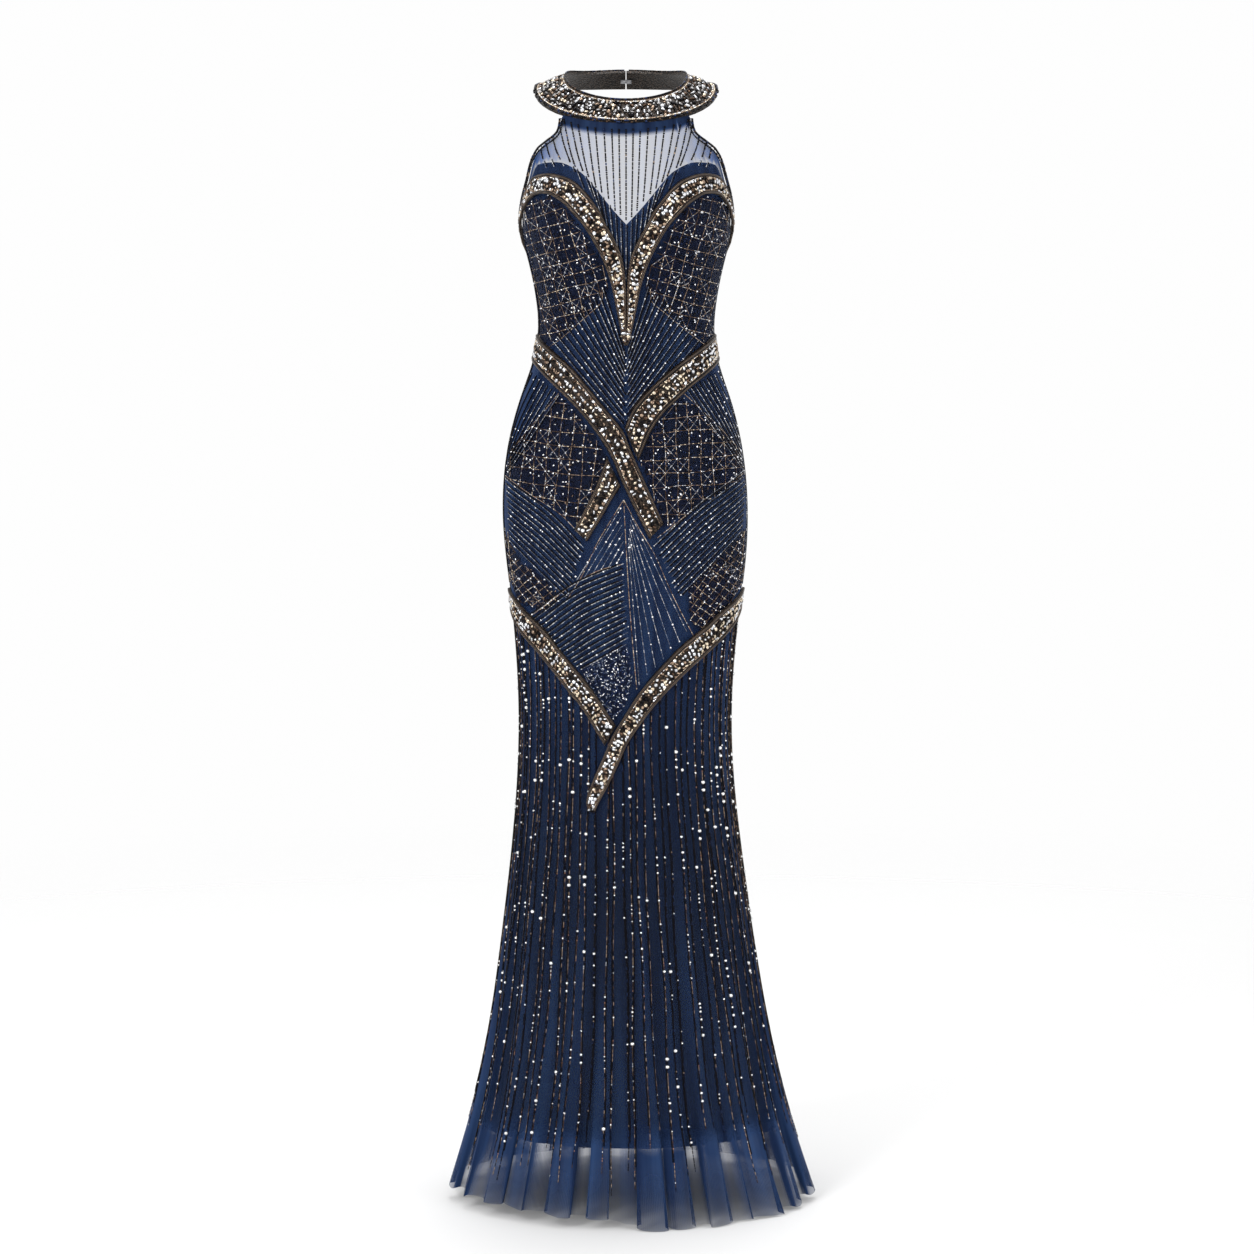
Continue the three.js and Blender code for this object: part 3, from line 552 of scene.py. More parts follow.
# %% Tints and mixes
TINTS = {
    "white": (0.95, 0.96, 1.0), "silver": (0.70, 0.71, 0.74), "smoke": (0.16, 0.17, 0.21),
    "champagne": (0.78, 0.66, 0.50), "bronze": (0.36, 0.26, 0.19), "brown": (0.10, 0.062, 0.042),
    "copper": (0.42, 0.22, 0.15), "black": (0.010, 0.009, 0.011), "navy": (0.02, 0.035, 0.10),
    "steel": (0.28, 0.34, 0.46), "pewter": (0.34, 0.33, 0.33),
}
KINDS = {
    "silver": (0.7, [(4.2, 0.8, "silver", 3.4), (2.4, 0.85, "steel", 4), (1.7, 1.4, "white", 1),
                     (4.4, 0.85, "smoke", 5)]),
    "bronze": (0.9, [(4.6, 1.0, "bronze", 4), (4.0, 1.0, "brown", 6), (1.8, 1.2, "copper", 1),
                     (1.8, 1.3, "silver", 0.8), (4.6, 1.0, "black", 4)]),
    "thread": (0.3, [(3.4, 0.9, "bronze", 4), (2.8, 0.9, "brown", 6), (2.4, 0.9, "silver", 1.5),
                     (1.8, 1.2, "champagne", 1.5)]),
    "pale_bronze": (0.4, [(4.0, 1.0, "bronze", 5), (3.6, 0.9, "brown", 2),
                          (1.8, 1.1, "champagne", 3), (1.6, 1.2, "silver", 2),
                          (1.6, 1.2, "copper", 0.6)]),
    "dark": (0.8, [(4.4, 1.3, "black", 6), (1.8, 1.6, "black", 4), (1.6, 1.5, "bronze", 0.7),
                   (3.0, 1.2, "navy", 2)]),
    # painted shadow: long black beads laid beside a light string where its shadow falls
    "shadow": (0.2, [(9.0, 1.3, "black", 1)]),
    "fine": (0.5, [(2.6, 0.8, "smoke", 4), (2.2, 0.85, "silver", 2), (2.4, 0.85, "bronze", 3)]),
    "rope": (0.05, [(2.6, 2.6, "black", 5), (2.6, 2.6, "navy", 1), (2.4, 2.4, "brown", 1)]),
    "dull_rope": (0.3, [(2.2, 2.0, "bronze", 5), (2.0, 2.0, "brown", 4),
                        (2.0, 2.0, "champagne", 3), (2.0, 2.1, "white", 1)]),
    "bright_rope": (0.1, [(2.2, 2.2, "champagne", 5), (2.2, 2.2, "bronze", 4),
                          (2.2, 2.3, "white", 2)]),
}
print("tints:", len(TINTS), "mixes:", len(KINDS))

# %% [markdown]
# ## Strings of beads
# A string follows a path over the cloth. Where the path leaves the cloth or jumps, the thread is
# cut. Beside each light string a string of long black beads is laid as its painted shadow, which
# is why the lines look crisp from far away.

# %% Strings
LONGEST_STEP = 0.014


def unbroken(path):
    """The parts of a path that lie on the cloth without a jump."""
    runs, run = [], []
    for spot in path:
        if spot is None or (run and (spot[0] - run[-1][0]).length > LONGEST_STEP):
            runs.append(run)
            run = []
        if spot is not None:
            run.append(spot)
    return [part for part in [*runs, run] if len(part) > 1]


def lay(bag, path, kind, aside=0.0, wide=1.0):
    """Strings beads of one kind along a path; aside moves the string sideways, in mm."""
    gap, mix = KINDS[kind]
    shares = [bead[3] for bead in mix]
    for run in unbroken(path):
        places = np.array([spot[0] for spot in run])
        normals = np.array([spot[1] for spot in run])
        steps = np.linalg.norm(np.diff(places, axis=0), axis=1)
        reach = np.concatenate([[0], np.cumsum(steps)])
        if aside:
            heading = np.gradient(places, axis=0)
            across = np.cross(normals, heading)
            across /= np.maximum(np.linalg.norm(across, axis=1, keepdims=True), 1e-9)
            places = places + across * aside * MM
        begins, finishes, widths, tints = [], [], [], []
        at = chance.uniform(0, gap) * MM
        while True:
            length, width, tint, _ = chance.choices(mix, shares)[0]
            if at + length * MM > reach[-1]:
                break
            begins.append(at)
            finishes.append(at + length * MM)
            widths.append(width * wide * MM)
            shade = chance.uniform(0.75, 1.2)
            tints.append([min(1, part * shade) for part in TINTS[tint]])
            at += (length + gap * chance.uniform(0.5, 1.5)) * MM
        if begins:
            ends = [np.column_stack([np.interp(at, reach, places[:, axis]) for axis in range(3)])
                    for at in (begins, finishes)]
            middle = (np.array(begins) + np.array(finishes)) / 2
            facing = np.column_stack(
                [np.interp(middle, reach, normals[:, axis]) for axis in range(3)]
            )
            bag.add(ends[0], ends[1], facing, widths, widths, tints)


print("longest step of a string:", LONGEST_STEP, "m")

# %% [markdown]
# ## Paths on the cloth
# The drawing of the front gives points in millimetres across and above the floor. A smooth line
# goes through them, and every few millimetres a ray finds its place on the cloth. Close to the
# silhouette the cloth turns away from the viewer, so there the place is found from the side.

# %% Paths on the cloth
PATH_STEP = 3.0
NEAR_SIDE = 0.993
GRAZING = 0.12


def smooth_line(points, step):
    """Points of a smooth line through a few given ones, in the plane of the drawing."""
    knots = [Vector(point) for point in points]
    knots = [2 * knots[0] - knots[1], *knots, 2 * knots[-1] - knots[-2]]
    line = []
    for before, here, there, after in zip(knots, knots[1:], knots[2:], knots[3:]):
        pieces = max(1, math.ceil((there - here).length / step))
        for index in range(pieces):
            t = index / pieces
            line.append(0.5 * (
                2 * here + (there - before) * t
                + (2 * before - 5 * here + 4 * there - after) * t**2
                + (3 * here - before - 3 * there + after) * t**3
            ))
    line.append(knots[-2])
    return line


outer_tree = tree_of([*net.values(), *lining.values()])


def on_front(across, height):
    """Place on the front cloth behind a point of the drawing, or None past the silhouette."""
    spot = front_place(outer_tree, across, height)
    if spot is None or abs(spot[1].y) < GRAZING:
        middle, side, _, _ = section(height)
        share = (across - middle) / side
        if abs(share) > NEAR_SIDE:
            return None
        spot = round_place(outer_tree, math.degrees(math.asin(share)), height)
    return spot


def front_path(points):
    """A path on the front through points of the drawing: across and height above the floor."""
    return [on_front(point.x, point.y) for point in smooth_line(points, PATH_STEP)]


print("a path has a place every", PATH_STEP, "mm")

# %% [markdown]
# ## Finish of the net
# Net is a fine six-sided mesh that lets light through. The holes come from a pattern of cells,
# soft streaks of painted light and shade run along the folds, and three attributes of the cloth say
# how dense it is, where black beads hide it and how much light and shade is painted on each fold.

# %% Finish of the net
# painted light and painted shade: two tones of the net's navy for the lit and shaded sides of folds
NET_PAINTED_LIGHT = (0.014, 0.034, 0.092)
NET_PAINTED_SHADE = (0.0035, 0.010, 0.036)
NET_BLACK = (0.0030, 0.0045, 0.014)
CLOTH_SHEEN = {"Sheen Weight": 0.06, "Sheen Tint": (0.35, 0.5, 1.0, 1)}


def ramp(tree, colours):
    """A colour ramp with the given stops."""
    node = tree.nodes.new("ShaderNodeValToRGB")
    while len(node.color_ramp.elements) < len(colours):
        node.color_ramp.elements.new(0.5)
    for element, (stop, colour) in zip(node.color_ramp.elements, colours):
        element.position = stop
        element.color = (*colour, 1)
    return node


def painted_fold_streaks(tree, uv, scale, noise, colours):
    """Painted light and shade in stripes along the folds, scaled by the attribute of painted
    shading.
    """
    stretch = add_node(tree, "ShaderNodeMapping", {"Scale": scale})
    streak = add_node(tree, "ShaderNodeTexNoise", {"Scale": 1.0, **noise})
    tone = ramp(tree, colours)
    painted_shading = add_node(tree, "ShaderNodeAttribute", attribute_name="painted_shading")
    shade = add_node(tree, "ShaderNodeVectorMath", operation="SCALE")
    join(tree, (uv, "UV", stretch, "Vector"), (stretch, "Vector", streak, "Vector"),
         (streak, "Fac", tone, "Fac"), (tone, "Color", shade, 0), (painted_shading, "Fac", shade, "Scale"))
    return shade


def make_net_finish():
    """Navy net: see-through by the attribute cover, near black by the attribute ground."""
    material, tree, shader = new_material("navy_net")
    uv = add_node(tree, "ShaderNodeUVMap", uv_map="weave")
    # painted light and shade in stripes along the folds
    shade = painted_fold_streaks(tree, uv, (70, 2.2, 1), {"Detail": 3.0}, [(0.32, NET_PAINTED_SHADE), (0.68, NET_PAINTED_LIGHT)])
    holes = add_node(tree, "ShaderNodeTexVoronoi", {"Scale": 720, "Randomness": 0.25},
                     feature="DISTANCE_TO_EDGE")
    thread = add_node(tree, "ShaderNodeMapRange",
                      {"From Min": 0.05, "From Max": 0.16, "To Min": 1.12, "To Max": 0.92})
    cover = add_node(tree, "ShaderNodeAttribute", attribute_name="cover")
    ground = add_node(tree, "ShaderNodeAttribute", attribute_name="ground")
    mix = add_node(tree, "ShaderNodeMix", data_type="RGBA")
    mix.inputs["B"].default_value = (*NET_BLACK, 1)
    veil = add_node(tree, "ShaderNodeMath", operation="MULTIPLY", use_clamp=True)
    join(tree, (shade, "Vector", mix, "A"), (ground, "Fac", mix, "Factor"),
         (mix, "Result", shader, "Base Color"), (uv, "UV", holes, "Vector"),
         (holes, "Distance", thread, "Value"), (thread, "Result", veil, 0),
         (cover, "Fac", veil, 1), (veil, "Value", shader, "Alpha"))
    set_values(shader, {"Roughness": 0.7, "Specular IOR Level": 0.08, **CLOTH_SHEEN})
    return material


net_finish = make_net_finish()
print("finish:", net_finish.name)

# %% [markdown]
# ## Finish of the lining
# The lining is a matt crepe. Its weave is too fine to see as threads, so it is a small bump, and
# broad streaks of painted light and shade follow its folds.

# %% Finish of the lining
# painted light and painted shade: two tones of the lining's navy for the lit and shaded sides of
# folds
LINING_PAINTED_LIGHT = (0.011, 0.028, 0.082)
LINING_PAINTED_SHADE = (0.0018, 0.0050, 0.020)


def make_lining_finish():
    """Navy crepe with a close weave and soft stripes of painted light and shade along its folds."""
    material, tree, shader = new_material("navy_crepe")
    uv = add_node(tree, "ShaderNodeUVMap", uv_map="weave")
    shade = painted_fold_streaks(tree, uv, (34, 1.3, 1), {"Detail": 4.0, "Roughness": 0.55},
                    [(0.30, LINING_PAINTED_SHADE), (0.70, LINING_PAINTED_LIGHT)])
    weave = add_node(tree, "ShaderNodeTexNoise", {"Scale": 1400.0, "Detail": 2.0})
    bump = add_node(tree, "ShaderNodeBump", {"Strength": 0.25, "Distance": 0.0004})
    join(tree, (shade, "Vector", shader, "Base Color"), (uv, "UV", weave, "Vector"),
         (weave, "Fac", bump, "Height"), (bump, "Normal", shader, "Normal"))
    set_values(shader, {"Roughness": 0.55, "Specular IOR Level": 0.15, **CLOTH_SHEEN})
    return material


lining_finish = make_lining_finish()
print("finish:", lining_finish.name)

# %% [markdown]
# ## Finishes of beads and grounds
# Glass beads and foil-backed crystals shine, each in its own tint. The bands have a ground of
# close-set dark beads between the stones, which is too small to model and is a pattern of cells.

# %% Finishes of beads and grounds
def make_bead_finish(name, metallic, roughness):
    """Beads and stones: colour and painted foot shade from the attribute tint, a fine change of
    tone.
    """
    material, tree, shader = new_material(name)
    tint = add_node(tree, "ShaderNodeAttribute", attribute_name="tint")
    place = add_node(tree, "ShaderNodeTexCoord")
    cloud = add_node(tree, "ShaderNodeTexNoise", {"Scale": 260.0, "Detail": 1.0})
    shade = add_node(tree, "ShaderNodeMapRange", {"To Min": 0.7, "To Max": 1.3})
    scale = add_node(tree, "ShaderNodeVectorMath", operation="SCALE")
    join(tree, (place, "Object", cloud, "Vector"), (cloud, "Fac", shade, "Value"),
         (tint, "Color", scale, 0), (shade, "Result", scale, "Scale"),
         (scale, "Vector", shader, "Base Color"))
    set_values(shader, {"Metallic": metallic, "Roughness": roughness, "Specular IOR Level": 0.12})
    return material


def make_ground_finish(name, dark, light, scale, metallic=0.4):
    """Close-set dark beadwork, tape or brushed metal, as tone and bump."""
    material, tree, shader = new_material(name)
    place = add_node(tree, "ShaderNodeTexCoord")
    cells = add_node(tree, "ShaderNodeTexVoronoi", {"Scale": scale})
    tone = ramp(tree, [(0.0, light), (0.55, dark)])
    bump = add_node(tree, "ShaderNodeBump", {"Strength": 0.7, "Distance": 0.0008}, invert=True)
    join(tree, (place, "Object", cells, "Vector"), (cells, "Distance", tone, "Fac"),
         (tone, "Color", shader, "Base Color"), (cells, "Distance", bump, "Height"),
         (bump, "Normal", shader, "Normal"))
    set_values(shader, {"Metallic": metallic, "Roughness": 0.4, "Specular IOR Level": 0.15})
    return material


bead_finish = make_bead_finish("glass_beads", 0.55, 0.24)
crystal_finish = make_bead_finish("foiled_crystals", 0.75, 0.12)
GROUNDS = {
    "band": ("band_ground", (0.008, 0.006, 0.005), (0.085, 0.060, 0.044), 420),
    "edging": ("edging_ground", (0.004, 0.004, 0.006), (0.03, 0.03, 0.04), 520),
    "zip": ("zip_tape", (0.006, 0.010, 0.030), (0.03, 0.05, 0.12), 700),
    "hook": ("brushed_steel", (0.30, 0.30, 0.31), (0.52, 0.52, 0.54), 300, 1.0),
}
ground_finishes = {part: make_ground_finish(*values) for part, values in GROUNDS.items()}
for name, obj in nodes.items():
    word = "band" if name == "collar" else name
    part = next((part for part in GROUNDS if part in word), None)
    if part:
        for slot in obj.material_slots:
            slot.material = ground_finishes[part]
print("finishes of beads and grounds:", 2 + len(ground_finishes))

# %% [markdown]
# ## Outlines on the net
# The lining ends in a sweetheart edge, given here by angle and height. The lattices lie in closed
# outlines, given by millimetres across and above the floor.

# %% Outlines on the net
SWEETHEART = [
    (0, 1278), (6, 1293), (12, 1310), (18, 1326), (26, 1345), (36, 1355), (48, 1360), (60, 1357),
    (69, 1353), (73, 1343), (78, 1328), (84, 1312), (90, 1297),
]
BACK_EDGE = {"side": 1302, "centre": 1165, "bend": 1.8}
COLLAR_HEIGHTS = (1405, 1447, 1453)
LATTICES = {
    "bust_left": [(-130, 1305), (-99, 1316), (-76, 1299), (-48, 1262), (-27, 1223), (-22, 1197),
                  (-31, 1182), (-46, 1167), (-65, 1150), (-85, 1132), (-110, 1120), (-116, 1153),
                  (-127, 1205), (-140, 1257)],
    "bust_right": [(130, 1305), (99, 1316), (76, 1299), (48, 1262), (30, 1223), (25, 1197),
                   (35, 1182), (50, 1167), (70, 1150), (92, 1132), (114, 1120), (118, 1153),
                   (128, 1205), (140, 1257)],
    "hip_left": [(-85, 1060), (-102, 1040), (-124, 1016), (-148, 990), (-158, 953), (-124, 932),
                 (-85, 908), (-59, 886), (-35, 939), (-20, 972), (-36, 1005), (-60, 1037)],
    "hip_right": [(69, 1060), (95, 1042), (121, 1016), (148, 987), (158, 954), (121, 932),
                  (82, 908), (49, 890), (31, 940), (18, 975), (29, 1007), (48, 1037)],
    "side_left": [(-157, 876), (-135, 843), (-104, 824), (-80, 797), (-104, 780), (-140, 790),
                  (-156, 830)],
    "side_right": [(157, 884), (130, 862), (109, 843), (80, 812), (82, 769), (98, 755), (132, 781),
                   (156, 820)],
    "vermicelli": [(-57, 706), (2, 744), (9, 689), (-5, 655), (-24, 637), (-46, 680)],
}


def inside(polygon, across, height):
    """Whether a point of the drawing lies in a closed outline."""
    crossed = False
    for (x0, y0), (x1, y1) in zip(polygon, polygon[1:] + polygon[:1]):
        if (y0 > height) != (y1 > height) and across < x0 + (height - y0) * (x1 - x0) / (y1 - y0):
            crossed = not crossed
    return crossed


def collar_height(angle):
    """Height of the collar's outer edge at an angle."""
    facing = math.cos(math.radians(angle))
    front, side, back = COLLAR_HEIGHTS
    if facing > 0:
        return front + (side - front) * (1 - facing)
    return side + (back - side) * facing**2


def lining_edge(angle):
    """Height of the sweetheart edge at an angle, the same on both sides."""
    return np.interp(abs(angle), [row[0] for row in SWEETHEART], [row[1] for row in SWEETHEART])


print("outlines of lattices:", len(LATTICES))

# %% [markdown]
# ## How dense the net is
# Over the lining the net is doubled by it. On the yoke it is thin and pale, and just below the
# collar a narrow strip is denser. At the hem the net is alone. The flanks of its folds look denser
# than their tops, as they are seen at a slant, and between two tubes it hangs single.

# %% How dense the net is
LINING_HEM = 98
HEM_BLEND = 25
UPPER_PART = 1200
UNDER_ARM = (72, 1338)
YOKE_COVER = 0.38
YOKE_SIDE_COVER = 0.75
YOKE_SIDE = 70
STRIP_COVER = 1.3
STRIP_DEPTH = 13
LINED_COVER = 0.45
SIDE_COVER = 1.0
SIDE_REACH, SIDE_BLEND = 28, 12
HEM_COVER = 0.30
HEM_TOP_COVER = 1.0
CREST_COVER = 0.45
FLANK_COVER = 0.70
LEAST_COVER, MOST_COVER = 0.2, 1.2
GAPS = [(-4, 4.5), (-32, 3.5), (22, 3), (35.5, 3), (-16, 2), (148, 3), (160, 3), (-148, 3),
        (-161, 2.5)]
GAP_SOFTNESS = 1.5
GAP_CLEARING = 0.45


def clamp(value, least=0.0, most=1.0):
    """A value kept between two others."""
    return max(least, min(most, value))


def gap_at(across, depth, height):
    """How far a place of the hem lies between two tubes, where the net hangs single."""
    angle = angle_of(across, depth, height)
    return max(max(0.0, 1 - abs(angle - middle) / spread / GAP_SOFTNESS)
               for middle, spread in GAPS)


def cover_at(across, depth, height, flank, front, painted_shading):
    """How dense the net is at a place."""
    angle = abs(angle_of(across, depth, height))
    if front and height > UPPER_PART:
        under_arm = angle > UNDER_ARM[0] and height < UNDER_ARM[1]
        if height > lining_edge(angle) and not under_arm:
            if collar_height(angle) - height < STRIP_DEPTH:
                return STRIP_COVER
            return YOKE_COVER + YOKE_SIDE_COVER * (angle / YOKE_SIDE) ** 2
    share = clamp(height / LINING_HEM)
    hem = HEM_COVER + (HEM_TOP_COVER - HEM_COVER) * share
    hem += FLANK_COVER * flank + CREST_COVER * painted_shading
    hem -= GAP_CLEARING * gap_at(across, depth, height)
    lined = clamp((height - LINING_HEM) / HEM_BLEND)
    beside = clamp((SIDE_REACH - abs(angle - 90)) / SIDE_BLEND) if height > LINING_HEM else 0.0
    doubled = LINED_COVER + (SIDE_COVER - LINED_COVER) * beside
    return clamp(hem, LEAST_COVER, MOST_COVER) * (1 - lined) + doubled * lined


print("the lining ends", LINING_HEM, "mm above the floor")

# %% [markdown]
# ## Painted light and shade of the cloth
# The single net of the yoke is painted paler and bluer, as painted light for the light that comes
# in from behind it, and the strip just under the collar is painted darker as its shade. In the
# skirt the troughs of the folds get painted shade and their tops painted light.

# %% Painted light and shade of the cloth
# painted light on the yoke's single net, and painted shade in the strip under the collar
YOKE_PAINTED_LIGHT = (2.2, 3.6)
YOKE_PAINTED_LIGHT_REACH = 55
STRIP_PAINTED_SHADE = 0.75
FOLD_TOP = 700
FOLD_START = 250
FOLD_HIGH = 9.0
FOLD_LOW = 3
# painted shade in the troughs of the folds and painted light on their tops
TROUGH_PAINTED_SHADE = 0.22
CREST_PAINTED_LIGHT = 1.15


def yoke_painted_light(angle, height):
    """Painted light: the yoke's net bluer than net over the lining; painted shade under the collar.
    """
    under_arm = abs(angle) > UNDER_ARM[0] and height < UNDER_ARM[1]
    if height < lining_edge(angle) or under_arm or abs(angle) > 90:
        return 1.0
    if collar_height(angle) - height < STRIP_DEPTH:
        return STRIP_PAINTED_SHADE
    return YOKE_PAINTED_LIGHT[0] + (YOKE_PAINTED_LIGHT[1] - YOKE_PAINTED_LIGHT[0]) * min(1.0, abs(angle) / YOKE_PAINTED_LIGHT_REACH)


def painted_fold_shading_at(across, depth, height):
    """Painted shade and light of a fold of the skirt: dark in its trough and pale on its top."""
    middle, side, front, back = section(height)
    reach = front if depth < 0 else back
    turn = math.atan2((across - middle) / side, -depth / reach)
    smooth = Vector((side * math.sin(turn), reach * math.cos(turn))).length
    lift = Vector((across - middle, depth)).length - smooth
    share = clamp((lift + FOLD_LOW) / FOLD_HIGH)
    strength = clamp((FOLD_TOP - height) / FOLD_START)
    return 1 + (TROUGH_PAINTED_SHADE + (CREST_PAINTED_LIGHT - TROUGH_PAINTED_SHADE) * share - 1) * strength


print("folds begin", FOLD_TOP, "mm above the floor")

# %% [markdown]
# ## Tuck under the collar
# The upper edge of the net is sewn to the underside of the collar, so its last millimetres rise
# until no light comes through between them.

# %% Tuck under the collar
TUCK_DEPTH = 9
TUCK_RISE = 4.5
TUCK_SIDE = 60
tucked = 0
for vertex in net["front_upper"].data.vertices:
    height = vertex.co.z / MM + NECK_HEIGHT
    angle = angle_of(vertex.co.x / MM, vertex.co.y / MM, height)
    below = collar_height(angle) - height
    if abs(angle) < TUCK_SIDE and below < TUCK_DEPTH:
        vertex.co.z += TUCK_RISE * (1 - max(0.0, below) / TUCK_DEPTH) * MM
        tucked += 1
print("corners tucked under the collar:", tucked)

# %% [markdown]
# ## Dressing the cloth
# Cover, ground and painted light and shade are worked out at each corner of the mesh and kept in
# attributes, which the finishes read. The weave map follows the cloth round the gown and up it.
# Under the lattices a ground of black beads hides the navy.

# %% Dressing the cloth
WEAVE_ROUND = 0.0026
LATTICE_COVER = 0.62


def dress_cloth(obj, is_net, front):
    """Gives a cloth its painted shading and weave map and, if it is net, its cover and ground."""
    mesh = obj.data
    heights = [vertex.co.z / MM + NECK_HEIGHT for vertex in mesh.vertices]
    angles = [angle_of(v.co.x / MM, v.co.y / MM, h) for v, h in zip(mesh.vertices, heights)]
    # painted shade and light of the folds, and on the front the painted light of the yoke
    painted_shadings = [painted_fold_shading_at(v.co.x / MM, v.co.y / MM, h) for v, h in zip(mesh.vertices, heights)]
    if front:
        painted_shadings = [painted_shading * yoke_painted_light(a, h) for painted_shading, a, h in zip(painted_shadings, angles, heights)]
    layer = mesh.attributes.new("painted_shading", "FLOAT", "POINT")
    layer.data.foreach_set("value", painted_shadings)
    uv = mesh.uv_layers.new(name="weave")
    for loop in mesh.loops:
        index = loop.vertex_index
        uv.data[loop.index].uv = (angles[index] * WEAVE_ROUND, heights[index] * MM)
    if not is_net:
        return
    covers, grounds = [], []
    for vertex, height in zip(mesh.vertices, heights):
        across, depth = vertex.co.x / MM, vertex.co.y / MM
        away = Vector((across, depth, 0)).normalized()
        flank = 1 - abs(vertex.normal.dot(away))
        painted_shading = max(0.0, painted_fold_shading_at(across, depth, height) - 1) * 2
        covers.append(cover_at(across, depth, height, flank, front, painted_shading))
        dark = front and any(inside(outline, across, height) for outline in LATTICES.values())
        grounds.append(1.0 if dark else 0.0)
        if dark:
            covers[-1] = LATTICE_COVER
    for name, values in (("cover", covers), ("ground", grounds)):
        layer = mesh.attributes.new(name, "FLOAT", "POINT")
        layer.data.foreach_set("value", values)


for name, obj in net.items():
    dress_cloth(obj, True, name == "front_upper")
    obj.data.materials.append(net_finish)
for obj in lining.values():
    dress_cloth(obj, False, False)
    obj.data.materials.append(lining_finish)
print("cloths dressed:", len(net) + len(lining))

# %% [markdown]
# ## Bands
# Each band lies on the gown between two lines. A row below gives its upper and its lower edge as
# angle and height, read from the drawing. The back can't be seen from the front, so its bands are
# plain and sink a little towards the zip.

# %% Edges of the bands
BUST_BAND = [
    (89.7, 1287, 89.7, 1266), (84, 1302, 84, 1280), (77, 1320, 76, 1297), (66, 1338, 62, 1314),
    (50, 1343, 47, 1316), (37, 1339, 40, 1311), (28, 1330, 34, 1304), (21, 1316, 29, 1294),
    (14, 1295, 23, 1279), (10, 1276, 19, 1263), (6, 1258, 15, 1242), (2, 1234, 11.5, 1220),
    (0.4, 1200, 8.5, 1196), (0.4, 1160, 5, 1159), (0.4, 1124, 1.4, 1127),
]
WAIST_OVER = [
    (-89.7, 1136, -89.7, 1103), (-70, 1127, -76, 1097), (-53, 1115, -62, 1088),
    (-36, 1097, -46, 1072), (-22, 1072, -31, 1051), (-11, 1045, -20, 1028),
    (-1, 1016, -10.5, 999), (2.5, 994, -6, 979),
    (7, 966, -1.5, 950), (13, 928, 4.5, 914), (18, 896, 11, 877),
]
WAIST_UNDER_UPPER = [
    (89.7, 1137, 89.7, 1103), (70, 1129, 75, 1096), (53, 1118, 60, 1087), (36, 1102, 43, 1072),
    (22, 1083, 31, 1056), (12, 1065, 21, 1038), (4, 1044, 13, 1013), (-0.2, 1020, 6.5, 976),
]
WAIST_UNDER_LOWER = [
    (-8.6, 982, -2, 944), (-13.5, 944, -6.5, 925), (-19, 914, -12, 899), (-24, 889, -18, 874),
]
HIP_OVER = [
    (89.7, 806, 89.7, 780), (72, 794, 77, 765), (56, 780, 65, 750), (45, 763, 53, 734),
    (37, 751, 45, 722), (29, 737, 37, 709), (21, 718, 29, 693), (13, 697, 21, 675),
    (6, 675, 14, 656),
    (-1, 647, 7, 633), (-7, 622, 1, 611), (-12, 594, -3.5, 586), (-18, 560, -9.5, 556),
    (-20.5, 538, -14, 536), (-18.5, 524, -16.5, 523),
]
HIP_UNDER = [
    (-89.7, 805, -89.7, 779), (-73, 794, -81, 766), (-62, 781, -71, 753), (-52, 768, -62, 741),
    (-43, 752, -53, 728), (-36, 733, -45, 712), (-29, 715, -38, 696), (-22, 696, -31, 677),
    (-14, 670, -23, 656), (-4.8, 637, -11, 610),
]
print("rows of the bust band:", len(BUST_BAND), "and of the hip band:", len(HIP_OVER))

# %% [markdown]
# ## Lines along a band
# Bands of the back need only their height at the side and at the zip. Any line along a band, for a
# cord or a row of stones, runs at a share of its width.

# %% Lines along a band
BACK_WAIST = {"side": (1136, 1103), "centre": (1092, 1062), "bend": 1.5}
BACK_HIP = {"side": (805, 779), "centre": (748, 724), "bend": 1.6}
BACK_BUST_WIDTH = 21
BACK_BUST_DROP = 13
BACK_FROM, BACK_TO = 90.3, 178.6


def mirrored(rows):
    """The same band on the other side of the front."""
    return [(-upper, upper_height, -lower, lower_height)
            for upper, upper_height, lower, lower_height in rows]


def back_edge(angle):
    """Height of the upper edge of the back."""
    along = ((180 - abs(angle)) / 90) ** BACK_EDGE["bend"]
    return BACK_EDGE["centre"] + (BACK_EDGE["side"] - BACK_EDGE["centre"]) * along


def back_rows(side, upper, lower):
    """A plain band on the back from the side seam to the zip."""
    angles = np.linspace(BACK_FROM, BACK_TO, 12)
    return [(side * angle, upper(angle), side * angle, lower(angle)) for angle in angles]


def bent(band, part):
    """Height of one edge of a plain band on the back, as a function of the angle."""
    side, centre = band["side"][part], band["centre"][part]
    return lambda angle: centre + (side - centre) * ((180 - angle) / 90) ** band["bend"]


def across_band(rows, share):
    """The line along a band at a share of its width."""
    return [(upper + (lower - upper) * share, high + (low - high) * share)
            for upper, high, lower, low in rows]


SCALE_ROUND = 2.2


def band_path(rows, share, tree, step=PATH_STEP):
    """Places along a band at a share of its width."""
    points = [(angle * SCALE_ROUND, height) for angle, height in across_band(rows, share)]
    return [round_place(tree, point.x / SCALE_ROUND, point.y)
            for point in smooth_line(points, step)]


print("bands of the back lie between", BACK_FROM, "and", BACK_TO, "degrees")

# %% [markdown]
# ## Cords
# Piping is a round cord sewn along an edge. It is made by sweeping a ring of corners along a path,
# with both ends closed. About a third of it sinks into the cloth, so no light comes through below.

# %% Cords
CORD_SIDES, THIN_CORD_SIDES = 7, 5
CORD_RAISED = 0.3


